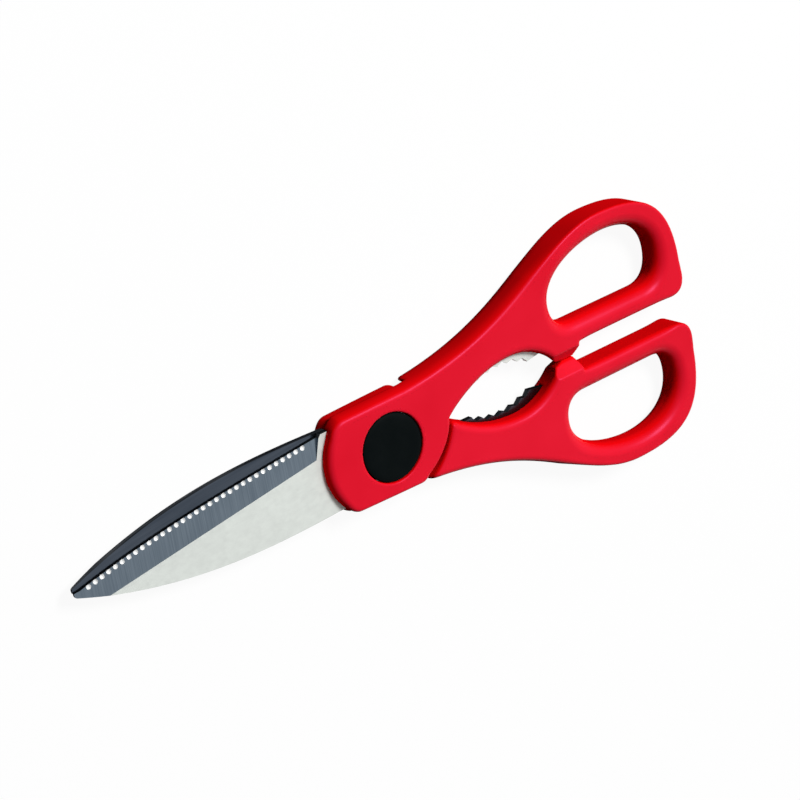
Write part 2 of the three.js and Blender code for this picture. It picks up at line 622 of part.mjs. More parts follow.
/** Moulded handle with its blade pocket, its keys through the tang, its cap seat and its finger hole. */
function handleBody() {
  const { points } = blankOutline();
  const steel = inset(points, points.map(() => -FIT));
  let pocket = solid(loft([ringAt(steel, BLADE_INNER - SEAT), ringAt(steel, BLADE_OUTER + SEAT)]));
  for (const [x, y] of KEY_PLACES) {
    pocket = pocket.subtract(roundBar(x, y, KEY_DIAMETER / 2 - FIT, -HALF, HALF));
  }
  const capSeat = roundBar(0, 0, CAP_DIAMETER / 2 + CAP_CLEARANCE, 0, HALF + BEYOND);
  return roundedPlate(handleOutline(), -HALF, HALF)
    .subtract(flaredCutter(holeOutline().points, -HALF, HALF, ROUND_HOLE, true, true))
    .subtract(bossRoom())
    .subtract(pocket)
    .subtract(capSeat);
}

/** Snap-in cap: a shallow crown flush with the handle's face and a skirt down to the blade. */
function capBody() {
  const radius = CAP_DIAMETER / 2;
  const crown = [];
  for (let k = 0; k <= ROUND_PARTS; k += 1) {
    const turn = (k / ROUND_PARTS) * (Math.PI / 2);
    crown.push([radius - CAP_RIM_WIDTH * (1 - Math.cos(turn)), HALF - CAP_RIM * (1 - Math.sin(turn))]);
  }
  const inner = radius - CAP_WALL;
  const skirt = BLADE_OUTER + SEAT;
  return turned([[0, CAP_ROOF], [inner, CAP_ROOF], [inner, skirt], [radius, skirt], ...crown, [0, HALF]]);
}

/** Shoulder screw standing on the front blade's washer, threaded end towards the rear. */
function screwBody() {
  const [shoulder, thread] = [SCREW_DIAMETER / 2, THREAD_DIAMETER / 2];
  const head = HEAD_DIAMETER / 2;
  const top = HEAD_LOW + HEAD_HEIGHT;
  const end = -HEAD_LOW - NUT_HEIGHT;
  const slot = new THREE.BoxGeometry(HEAD_DIAMETER + BEYOND, HEAD_SLOT_WIDTH, HEAD_SLOT_DEPTH * 2);
  slot.translate(0, 0, top);
  const stem = [[0, end], [thread, end], [thread, -BLADE_OUTER], [shoulder, -BLADE_OUTER]];
  const crown = [[shoulder, HEAD_LOW], [head, HEAD_LOW], [head, top], [0, top]];
  return turned([...stem, ...crown]).subtract(solid(slot));
}

/** Thin hexagon nut on the rear blade's spring washer. */
function nutBody() {
  const radius = NUT_WIDTH / 2 / Math.cos(Math.PI / NUT_SIDES);
  const hexagon = new THREE.CylinderGeometry(radius, radius, NUT_HEIGHT, NUT_SIDES);
  hexagon.rotateX(Math.PI / 2);
  hexagon.translate(0, 0, -HEAD_LOW - NUT_HEIGHT / 2);
  return solid(hexagon).subtract(roundBar(0, 0, THREAD_DIAMETER / 2 + FIT, -HALF, 0));
}

/** Flat washer under the screw's head. */
function washerBody() {
  const [inner, outer] = [SCREW_DIAMETER / 2 + FIT, WASHER_DIAMETER / 2];
  const foot = [[inner, WASHER_LOW], [outer, WASHER_LOW]];
  const top = [[outer, WASHER_HIGH], [inner, WASHER_HIGH]];
  return turned([...foot, ...top, foot[0]]);
}

/** Coned spring washer under the nut. */
function springBody() {
  const [inner, outer] = [THREAD_DIAMETER / 2 + FIT, WASHER_DIAMETER / 2];
  const [foot, head] = [-WASHER_LOW, -WASHER_HIGH];
  const under = [[inner, head], [outer, foot - SPRING_THICKNESS]];
  const over = [[outer, foot], [inner, head + SPRING_THICKNESS]];
  return turned([...under, ...over, under[0]]);
}

const RED_PLASTIC = { color: 0xd8192b, roughness: 0.45, metalness: 0 };
const BLACK_PLASTIC = { color: 0x0e1314, roughness: 0.5, metalness: 0 };
const GROUND_STEEL = { color: 0xc6cac8, roughness: 0.35, metalness: 1 };
const PLATED_STEEL = { color: 0x9fa3a6, roughness: 0.4, metalness: 1 };

/** One half of the shears, about the plane between the blades: blade, handle and cap. */
function half(side, serrated) {
  const group = new THREE.Group();
  group.add(piece(`${side}_blade`, bladeBody(serrated), GROUND_STEEL));
  group.add(piece(`${side}_handle`, handleBody(), RED_PLASTIC));
  group.add(piece(`${side}_cap`, capBody(), BLACK_PLASTIC));
  return group;
}

const frontHalf = half('front', true);
const rearHalf = half('rear', false);
rearHalf.rotation.x = Math.PI;

const fastener = new THREE.Group();
fastener.add(piece('pivot_screw', screwBody(), PLATED_STEEL));
fastener.add(piece('pivot_nut', nutBody(), PLATED_STEEL));
fastener.add(piece('head_washer', washerBody(), PLATED_STEEL));
fastener.add(piece('spring_washer', springBody(), PLATED_STEEL));

const shears = new THREE.Group();
shears.add(frontHalf, rearHalf, fastener);
shears.position.z = HALF;

export default shears;
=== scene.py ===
"""Household shears: moulded handles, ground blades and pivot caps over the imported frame."""

import logging
import math
from dataclasses import dataclass
from enum import Enum

import bpy
import numpy as np
from mathutils import Matrix, Vector


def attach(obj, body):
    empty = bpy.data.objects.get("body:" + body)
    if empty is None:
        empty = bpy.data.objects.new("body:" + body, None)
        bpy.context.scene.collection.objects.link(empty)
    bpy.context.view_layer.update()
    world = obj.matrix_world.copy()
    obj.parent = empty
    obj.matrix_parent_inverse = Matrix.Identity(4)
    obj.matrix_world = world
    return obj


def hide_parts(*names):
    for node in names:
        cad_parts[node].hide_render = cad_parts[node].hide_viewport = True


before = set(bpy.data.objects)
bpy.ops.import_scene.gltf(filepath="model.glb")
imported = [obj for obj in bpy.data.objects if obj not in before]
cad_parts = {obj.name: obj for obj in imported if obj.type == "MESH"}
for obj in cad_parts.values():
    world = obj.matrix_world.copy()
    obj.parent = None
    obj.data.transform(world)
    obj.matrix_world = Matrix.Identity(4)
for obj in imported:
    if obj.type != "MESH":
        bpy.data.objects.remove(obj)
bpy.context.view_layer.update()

MM = 0.001
LEVEL = "level"
NOTCH = "notch"
WHITE = (1.0, 1.0, 1.0, 1.0)
LOG = logging.getLogger("shears")

Pair = tuple[float, float]
Triple = tuple[float, float, float]
Four = tuple[float, float, float, float]
Object = bpy.types.Object
Material = bpy.types.Material
Socket = bpy.types.NodeSocket


class Side(Enum):
    """Which half of the tool a piece belongs to."""

    FRONT = "front"
    REAR = "rear"

    @property
    def body(self) -> str:
        """Name of the CAD body that carries this half."""
        return f"{self.value}_half"


class Stretch(Enum):
    """How a stretch of an outline is drawn."""

    LINE = 2
    CORNER = 3
    BEND = 4


def bezier(controls: list[Pair], parts: int) -> np.ndarray:
    """Points of a Bezier stretch, without its last point.

    Args:
        controls: two, three or four control points, in millimetres.
        parts: how many points to give.

    Returns:
        Array of parts points.
    """
    share = np.linspace(0.0, 1.0, parts, endpoint=False)[:, None]
    layers = [np.broadcast_to(np.asarray(c, float), (parts, 2)) for c in controls]
    while len(layers) > 1:
        layers = [a * (1 - share) + b * share for a, b in zip(layers, layers[1:])]
    return layers[0]


class PlanPath:
    """Closed outline in plan, collected stretch by stretch with the edge rounding of each."""

    SPACING = 0.5
    BLEND = 3.0

    def __init__(self, x: float, y: float) -> None:
        """Puts the pen down at a point, in millimetres."""
        self.pen = (x, y)
        self.runs: list[np.ndarray] = []
        self.rounds: list[np.ndarray] = []

    def add(self, run: np.ndarray, end: Pair, rounding: float) -> "PlanPath":
        """Adds a run of points that leads to an end point.

        Args:
            run: points without the last one.
            end: where the pen then is.
            rounding: edge radius along the run.

        Returns:
            This path.
        """
        self.runs.append(run)
        self.rounds.append(np.full(len(run), rounding))
        self.pen = end
        return self

    def draw(self, kind: Stretch, numbers: tuple[float, ...], rounding: float = 0.0) -> "PlanPath":
        """Draws a line, a corner or a bend from the pen.

        Args:
            kind: how many control points the stretch has.
            numbers: x and y of each further control point in turn.
            rounding: edge radius along it.

        Returns:
            This path.
        """
        controls = [self.pen, *zip(numbers[0::2], numbers[1::2])]
        assert len(controls) == kind.value
        hops = np.diff(np.asarray(controls, float), axis=0)
        parts = max(1, round(float(np.hypot(*hops.T).sum()) / self.SPACING))
        return self.add(bezier(controls, parts), controls[-1], rounding)

    def line(self, x: float, y: float, rounding: float = 0.0) -> "PlanPath":
        """Draws a straight line to a point."""
        return self.draw(Stretch.LINE, (x, y), rounding)

    def corner(self, *numbers: float, rounding: float = 0.0) -> "PlanPath":
        """Draws a rounded corner through one control point."""
        return self.draw(Stretch.CORNER, numbers, rounding)

    def bend(self, *numbers: float, rounding: float = 0.0) -> "PlanPath":
        """Draws a bend through two control points."""
        return self.draw(Stretch.BEND, numbers, rounding)

    def arc(self, centre: Pair, radius: float, start: float, end: float,
            rounding: float = 0.0) -> "PlanPath":
        """Draws an arc about a centre.

        Args:
            centre: centre point.
            radius: its radius.
            start: first angle, in radians.
            end: last angle.
            rounding: edge radius along it.

        Returns:
            This path.
        """
        parts = max(2, round(abs(end - start) * radius / self.SPACING))
        turns = np.linspace(start, end, parts + 1)
        points = np.stack([centre[0] + radius * np.cos(turns),
                           centre[1] + radius * np.sin(turns)], 1)
        return self.add(points[:-1], tuple(points[-1]), rounding)

    def points(self) -> np.ndarray:
        """All points of the outline."""
        return np.concatenate(self.runs)

    def blended(self) -> np.ndarray:
        """Edge radius at each point, evened out where stretches of different radius meet."""
        points = self.points()
        values = np.concatenate(self.rounds)
        steps = np.hypot(*(np.roll(points, -1, 0) - points).T)
        place = np.concatenate([[0.0], np.cumsum(steps)[:-1]])
        total = steps.sum()
        apart = np.abs(place[:, None] - place[None, :])
        apart = np.minimum(apart, total - apart)
        weight = np.exp(-0.5 * (apart / self.BLEND) ** 2) * steps[None, :]
        return (weight * values[None, :]).sum(1) / weight.sum(1)


@dataclass(frozen=True)
class Lattice:
    """Even grid of places on which a solid is described by its distance field, in millimetres."""

    SHORTEST = 1e-12

    low: Triple
    high: Triple
    step: float

    def axis(self, k: int) -> np.ndarray:
        """Places along one axis."""
        count = int(math.ceil((self.high[k] - self.low[k]) / self.step)) + 1
        return (self.low[k] + self.step * np.arange(count)).astype(np.float32)

    def axes(self) -> list[np.ndarray]:
        """Places along the three axes, each shaped to spread over the whole grid."""
        return [self.axis(k).reshape([-1 if k == j else 1 for j in range(3)]) for k in range(3)]

    def plan(self, points: np.ndarray,
             rounds: np.ndarray | None = None) -> tuple[np.ndarray, np.ndarray]:
        """Signed distance in plan to a closed outline, negative inside it.

        Args:
            points: the outline.
            rounds: a value at each of its points, or None.

        Returns:
            The distance, and the value at the nearest place on the outline, each as a plan grid.
        """
        x, y = np.meshgrid(self.axis(0), self.axis(1), indexing="ij")
        best = np.full(x.shape, np.inf, np.float32)
        value = np.zeros_like(x)
        inside = np.zeros(x.shape, bool)
        values = np.zeros(len(points)) if rounds is None else rounds
        for k, a in enumerate(points):
            j = (k + 1) % len(points)
            b = points[j]
            run = b - a
            if run @ run < self.SHORTEST:
                continue
            share = np.clip(((x - a[0]) * run[0] + (y - a[1]) * run[1]) / (run @ run), 0, 1)
            gap = (x - a[0] - share * run[0]) ** 2 + (y - a[1] - share * run[1]) ** 2
            nearer = gap < best
            best = np.where(nearer, gap, best)
            value = np.where(nearer, values[k] + share * (values[j] - values[k]), value)
            if a[1] != b[1]:
                crosses = (y >= min(a[1], b[1])) & (y < max(a[1], b[1]))
                inside ^= crosses & (x < a[0] + (y - a[1]) * run[0] / run[1])
        distance = np.sqrt(best)
        return np.where(inside, -distance, distance), value


def round_meet(a: np.ndarray, b: np.ndarray, radius: np.ndarray | float) -> np.ndarray:
    """Distance field of what two solids share, its edge rounded to a radius."""
    corner = np.hypot(np.maximum(a + radius, 0), np.maximum(b + radius, 0))
    return np.minimum(np.maximum(a, b), -radius) + corner


def net_mesh(values: np.ndarray, lattice: Lattice) -> tuple[np.ndarray, np.ndarray]:
    """Closed quad mesh of the zero surface of a distance field, one point in each crossed cell.

    Args:
        values: the field on the lattice, positive on its border.
        lattice: where the values lie.

    Returns:
        Points in millimetres and quads that face outwards.
    """
    inside = values < 0
    cells = np.array(values.shape) - 1
    total = np.zeros((cells.prod(), 3))
    count = np.zeros(cells.prod())
    quads = []
    for axis in range(3):
        first = tuple(slice(0, -1) if k == axis else slice(None) for k in range(3))
        second = tuple(slice(1, None) if k == axis else slice(None) for k in range(3))
        place = np.argwhere(inside[first] != inside[second])
        near = values[first][tuple(place.T)]
        far = values[second][tuple(place.T)]
        point = place.astype(float)
        point[:, axis] += near / (near - far)
        u, v = [(axis + 1) % 3, (axis + 2) % 3]
        ring = []
        for du, dv in ((-1, -1), (0, -1), (0, 0), (-1, 0)):
            cell = place.copy()
            cell[:, u] += du
            cell[:, v] += dv
            flat = np.ravel_multi_index(tuple(cell.T), tuple(cells))
            ring.append(flat)
            for k in range(3):
                total[:, k] += np.bincount(flat, point[:, k], minlength=len(total))
            count += np.bincount(flat, minlength=len(count))
        quad = np.stack(ring, 1)
        outwards = near < 0
        quads.append(np.where(outwards[:, None], quad, quad[:, ::-1]))
    used = count > 0
    order = np.cumsum(used) - 1
    points = total[used] / count[used][:, None] * lattice.step + np.array(lattice.low)
    return points, order[np.concatenate(quads)]


def half_turn(side: Side, lift: float) -> Matrix:
    """Lifts a half drawn about the plane between the blades, the rear one turned over."""
    turn = Matrix.Rotation(math.pi if side is Side.REAR else 0.0, 4, "X")
    return Matrix.Translation((0, 0, lift * MM)) @ turn


def make_object(name: str, points: np.ndarray, faces: list | np.ndarray) -> Object:
    """Links a new mesh object.

    Args:
        name: object name.
        points: places in millimetres.
        faces: point numbers of each face.

    Returns:
        The object, its mesh in metres.
    """
    mesh = bpy.data.meshes.new(name)
    mesh.from_pydata((np.asarray(points) * MM).tolist(), [], [list(map(int, f)) for f in faces])
    mesh.validate()
    mesh.update()
    made = bpy.data.objects.new(name, mesh)
    bpy.context.scene.collection.objects.link(made)
    return made


def ring_solid(name: str, lower: np.ndarray, upper: np.ndarray) -> Object:
    """Closed solid between two matching anticlockwise rings.

    Args:
        name: object name.
        lower: points of the lower ring.
        upper: points of the upper ring.

    Returns:
        The object, facing outwards.
    """
    count = len(lower)
    sides = [[k, (k + 1) % count, (k + 1) % count + count, k + count] for k in range(count)]
    caps = [list(range(count))[::-1], list(range(count, 2 * count))]
    return make_object(name, np.vstack([lower, upper]), sides + caps)


def prism(name: str, points: np.ndarray, low: float, high: float) -> Object:
    """Upright prism of an anticlockwise outline, between two heights."""
    rings = [np.column_stack([points, np.full(len(points), z)]) for z in (low, high)]
    return ring_solid(name, *rings)


def bake(made: Object) -> Object:
    """Turns the object's modifiers into plain mesh and takes them off."""
    bpy.context.view_layer.update()
    graph = bpy.context.evaluated_depsgraph_get()
    mesh = bpy.data.meshes.new_from_object(made.evaluated_get(graph))
    made.modifiers.clear()
    old = made.data
    made.data = mesh
    bpy.data.meshes.remove(old)
    mesh.name = made.name
    return made


def discard(*objects: Object) -> None:
    """Removes helper objects that only shaped another piece."""
    for helper in objects:
        bpy.data.objects.remove(helper)


@dataclass(frozen=True)
class Plan:
    """Sizes that the two halves share, in millimetres, drawn about the plane between the blades."""

    thickness: float = 10.2
    blade_thickness: float = 1.9
    blade_gap: float = 0.1
    parting_gap: float = 0.3
    blade_reach: float = 101.9
    spine_offset: float = 11.9
    side_offset: float = 12.0
    step_radius: float = 24.6
    step_centre: Pair = (-2.2, 6.1)
    step_gap: float = 0.6
    step_gap_outer: float = 2.0
    jaw_near_height: float = 0.5
    jaw_length: float = 41.514
    jaw_half_height: float = 9.3
    cap_diameter: float = 20.0
    cap_clearance: float = 0.3

    @property
    def half(self) -> float:
        """Half the thickness over both handle faces."""
        return self.thickness / 2

    @property
    def inner(self) -> float:
        """Height of a blade's inner face."""
        return self.blade_gap / 2

    @property
    def outer(self) -> float:
        """Height of a blade's outer face."""
        return self.inner + self.blade_thickness

    def step_point(self, turn: float, gap: float, side: int) -> Pair:
        """Point on a handle's step.

        Args:
            turn: angle about the step's centre.
            gap: how far it is drawn back.
            side: -1 for this half's own step, 1 for the other's.

        Returns:
            x and y.
        """
        radius = self.step_radius - gap
        x, y = self.step_centre
        return x + radius * math.cos(turn), side * (y + radius * math.sin(turn))

    def step_turn(self, height: float, gap: float) -> float:
        """Angle about the step's centre at which a drawn-back step reaches a height."""
        return math.asin((height - self.step_centre[1]) / (self.step_radius - gap))

    @property
    def jaw_turn(self) -> float:
        """Angle about the step's centre at which the jaw begins."""
        return self.step_turn(self.jaw_near_height, self.step_gap)

    @property
    def jaw_near(self) -> float:
        """Pivot axis to the near end of the jaw."""
        return self.step_point(self.jaw_turn, self.step_gap, 1)[0]

    @property
    def jaw_far(self) -> float:
        """Pivot axis to the far end of the jaw."""
        return self.jaw_near + self.jaw_length


class NodeBench:
    """Small helper that adds nodes to one tree."""

    def __init__(self, tree: bpy.types.NodeTree) -> None:
        """Takes the tree to work on."""
        self.tree = tree

    def feed(self, socket: Socket, value: object) -> None:
        """Links an input to an output socket, or sets it to a plain value.

        Args:
            socket: the input.
            value: what it gets.
        """
        if isinstance(value, Socket):
            self.tree.links.new(value, socket)
        else:
            socket.default_value = value

    def add(self, kind: str, settings: dict | None = None, **inputs: object) -> bpy.types.Node:
        """Adds a node.

        Args:
            kind: node type.
            settings: properties of the node.
            inputs: what the inputs get, by name with _ for a space.

        Returns:
            The node.
        """
        node = self.tree.nodes.new(kind)
        for key, value in (settings or {}).items():
            setattr(node, key, value)
        for key, value in inputs.items():
            name = key.replace("_", " ")
            self.feed(next(s for s in node.inputs if s.name == name and s.enabled), value)
        return node

    def fill(self, kind: str, settings: dict, *values: object) -> Socket:
        """Adds a node whose inputs are filled in order.

        Args:
            kind: node type.
            settings: properties of the node.
            values: what the inputs get.

        Returns:
            The node's first output.
        """
        node = self.add(kind, settings)
        for socket, value in zip(node.inputs, values):
            self.feed(socket, value)
        return node.outputs[0]

    def reckon(self, operation: str, *values: object) -> Socket:
        """Result of a sum on sockets and plain numbers."""
        return self.fill("ShaderNodeMath", {"operation": operation}, *values)

    def mix(self, share: object, first: Socket, second: Socket) -> Socket:
        """Mix of two surfaces, the second one where the share is 1."""
        return self.fill("ShaderNodeMixShader", {}, share, first, second)

    def plain_rays(self) -> Socket:
        """1 for rays that see the surroundings straight, mirrored or through, else 0."""
        rays = self.add("ShaderNodeLightPath").outputs
        most = rays["Is Camera Ray"]
        for kind in ("Glossy", "Transmission"):
            most = self.reckon("MAXIMUM", most, rays[f"Is {kind} Ray"])
        return most


class Shade(NodeBench):
    """Bench for the nodes of one new material."""

    def __init__(self, name: str) -> None:
        """Makes an empty node material."""
        self.material = bpy.data.materials.new(name)
        self.material.use_nodes = True
        super().__init__(self.material.node_tree)
        self.tree.nodes.clear()
        self.output = self.add("ShaderNodeOutputMaterial")

    def place(self, scale: Triple, turn: float = 0.0) -> Socket:
        """Object coordinates, stretched and turned about the upright axis.

        Args:
            scale: stretch along each axis.
            turn: angle in radians.

        Returns:
            The coordinate socket.
        """
        source = self.add("ShaderNodeTexCoord").outputs["Object"]
        turned = self.add("ShaderNodeMapping", Vector=source, Rotation=(0.0, 0.0, turn))
        return self.add("ShaderNodeMapping", Vector=turned.outputs[0], Scale=scale).outputs[0]

    def noise(self, vector: Socket, scale: float, detail: float) -> Socket:
        """Noise value at a coordinate."""
        node = self.add("ShaderNodeTexNoise", Vector=vector, Scale=scale, Detail=detail)
        return node.outputs["Fac"]

    def spread(self, value: Socket, low: float, high: float,
               start: float = 0.3, end: float = 0.7) -> Socket:
        """Maps a value's middle range onto another range.

        Args:
            value: socket to map.
            low: result at start.
            high: result at end.
            start: value that gives low.
            end: value that gives high.

        Returns:
            The mapped socket.
        """
        return self.fill("ShaderNodeMapRange", {}, value, start, end, low, high)

    def tint(self, value: Socket, low: Triple, high: Triple,
             start: float = 0.3, end: float = 0.7) -> Socket:
        """Colour that runs from one to another with a value.

        Args:
            value: socket that drives it.
            low: colour at start.
            high: colour at end.
            start: value that gives low.
            end: value that gives high.

        Returns:
            The colour socket.
        """
        ramp = self.add("ShaderNodeValToRGB", Fac=value)
        for stop, place, colour in zip(ramp.color_ramp.elements, (start, end), (low, high)):
            stop.position = place
            stop.color = (*colour, 1.0)
        return ramp.outputs[0]

    def attribute(self, name: str) -> Socket:
        """Value that the mesh carries at each point."""
        return self.add("ShaderNodeAttribute", {"attribute_name": name}).outputs["Fac"]

    def blend(self, value: Socket, low: Socket,
              high: Socket) -> Socket:
        """Colour between two others, high where the value is 1."""
        node = self.add("ShaderNodeMix", {"data_type": "RGBA"}, Factor=value, A=low, B=high)
        return next(s for s in node.outputs if s.enabled)

    def bump(self, height: Socket, distance: float, strength: float) -> Socket:
        """Normal that follows a height, distance in metres."""
        node = self.add("ShaderNodeBump", Height=height, Distance=distance, Strength=strength)
        return node.outputs[0]

    def surface(self, **inputs: object) -> Material:
        """Closes the material with a principled surface."""
        return self.close(self.add("ShaderNodeBsdfPrincipled", **inputs).outputs[0])

    def close(self, surface: Socket) -> Material:
        """Leads a surface to the output and gives the material."""
        self.feed(self.output.inputs["Surface"], surface)
        return self.material


@dataclass(frozen=True)
class MouldedPlastic:
    """Moulded plastic with a faint grain; level faces are tinted pinker as a painted sheen, upright
    sides a purer red, and the faces are more specular.
    """

    name: str = "red_moulding"
    # side_deep and side_bright colour the upright sides a purer red; deep and bright colour the
    # level faces pinker, a painted sheen.
    side_deep: Triple = (0.78, 0.0015, 0.003)
    side_bright: Triple = (0.84, 0.002, 0.005)
    deep: Triple = (0.71, 0.006, 0.020)
    bright: Triple = (0.77, 0.009, 0.027)
    polish_and_sheen: Pair = (0.5, 0.85)
    roughness: Pair = (0.3, 0.36)
    specular: float = 0.12
    sheen: Four = (1.0, 0.3, 0.75, 1.0)
    cloud_scale: float = 45.0
    grain_scale: float = 2600.0
    grain: float = 0.00002
    relief: float = 0.35

    def material(self) -> Material:
        """Builds the node material."""
        shade = Shade(self.name)
        place = shade.place((1.0, 1.0, 1.0))
        clouds = shade.noise(place, self.cloud_scale, 2.0)
        grain = shade.noise(place, self.grain_scale, 2.0)
        level = shade.attribute(LEVEL)
        side = shade.tint(clouds, self.side_deep, self.side_bright)
        face = shade.tint(clouds, self.deep, self.bright)
        # Painted sheen: the base colour turns from the sides' purer red to the faces' pinker red as
        # the surface lies level.
        return shade.surface(
            Base_Color=shade.blend(shade.spread(level, 0.0, 1.0, *self.polish_and_sheen), side, face),
            Roughness=shade.spread(clouds, *self.roughness),
            Specular_IOR_Level=shade.spread(level, 0.0, self.specular, *self.polish_and_sheen),
            Specular_Tint=self.sheen,
            Normal=shade.bump(grain, self.grain, self.relief),
        )


@dataclass(frozen=True)
class CapPlastic:
    """Satin dark plastic of the pivot caps."""

    name: str = "cap_plastic"
    deep: Triple = (0.0020, 0.0034, 0.0036)
    bright: Triple = (0.0036, 0.0052, 0.0054)
    roughness: Pair = (0.48, 0.6)
    specular: float = 0.016
    cloud_scale: float = 160.0
    grain_scale: float = 4200.0
    grain: float = 0.00003
    relief: float = 0.5

    def material(self) -> Material:
        """Builds the node material."""
        shade = Shade(self.name)
        place = shade.place((1.0, 1.0, 1.0))
        clouds = shade.noise(place, self.cloud_scale, 3.0)
        grain = shade.noise(place, self.grain_scale, 2.0)
        return shade.surface(
            Base_Color=shade.tint(clouds, self.deep, self.bright),
            Roughness=shade.spread(clouds, *self.roughness),
            Specular_IOR_Level=self.specular,
            Normal=shade.bump(grain, self.grain, self.relief),
        )


@dataclass(frozen=True)
class Steel:
    """Steel with fine lines left by grinding or brushing."""

    name: str
    dark: Triple
    light: Triple
    roughness: Pair
    lines: Triple
    turn: float = 0.0
    depth: float = 0.000004
    metallic: float = 1.0
    graze: Four = WHITE
    cloud_scale: float = 70.0
    cloud_share: float = 0.35
    contrast: Pair = (0.35, 0.65)
    relief: float = 0.4

    def material(self) -> Material:
        """Builds the node material."""
        shade = Shade(self.name)
        lines = shade.noise(shade.place(self.lines, self.turn), 1.0, 4.0)
        clouds = shade.noise(shade.place((1.0, 1.0, 1.0)), self.cloud_scale, 3.0)
        ground = shade.reckon("MULTIPLY", lines, 1 - self.cloud_share)
        mixed = shade.reckon("MULTIPLY_ADD", clouds, self.cloud_share, ground)
        return shade.surface(
            Base_Color=shade.tint(mixed, self.dark, self.light, *self.contrast),
            Metallic=self.metallic,
            Roughness=shade.spread(mixed, *self.roughness),
            Specular_Tint=self.graze,
            Normal=shade.bump(lines, self.depth, self.relief),
        )


SATIN_STEEL = Steel("satin_flat", (0.59, 0.62, 0.59), (0.65, 0.685, 0.65), (0.5, 0.6),
                    (500.0, 800.0, 500.0), metallic=0.3)
# Painted reflection: the bevel and inner steels have dark base colours that stand for the dark
# surroundings their polished faces mirror; their grind and lapping lines are real.
BEVEL_REFLECTION_STEEL = Steel("bevel_grind", (0.104, 0.134, 0.166), (0.145, 0.18, 0.216), (0.16, 0.22),
                    (3200.0, 60.0, 60.0), turn=0.14)
INNER_REFLECTION_STEEL = Steel("lapped_inner", (0.046, 0.058, 0.077), (0.066, 0.08, 0.102), (0.18, 0.26),
                    (40.0, 900.0, 40.0), turn=-0.1)
# Painted shade: the edge and spine-rim steels are near black, their grazing reflection cut down, to
# stand for the shade along the blades' sides, teeth and spine.
EDGE_SHADE_STEEL = Steel("blanked_edge", (0.018, 0.02, 0.022), (0.035, 0.038, 0.042), (0.38, 0.55),
                   (300.0, 300.0, 1800.0), graze=(0.05, 0.05, 0.06, 1.0))
RIM_SHADE_STEEL = Steel("spine_rim", (0.03, 0.034, 0.037), (0.085, 0.09, 0.095), (0.32, 0.45),
                  (60.0, 300.0, 900.0), graze=(0.2, 0.2, 0.22, 1.0))
# Painted highlight: the scoop steel is near white and mostly diffuse, so each serration notch shows
# as a bright dot.
SCOOP_GLINT_STEEL = Steel("scoop_grind", (0.70, 0.71, 0.71), (0.82, 0.83, 0.82), (0.4, 0.5),
                    (900.0, 900.0, 900.0), metallic=0.2)
ZINC_STEEL = Steel("zinc_plate", (0.40, 0.41, 0.42), (0.5, 0.51, 0.52), (0.3, 0.42),
                   (400.0, 400.0, 400.0))


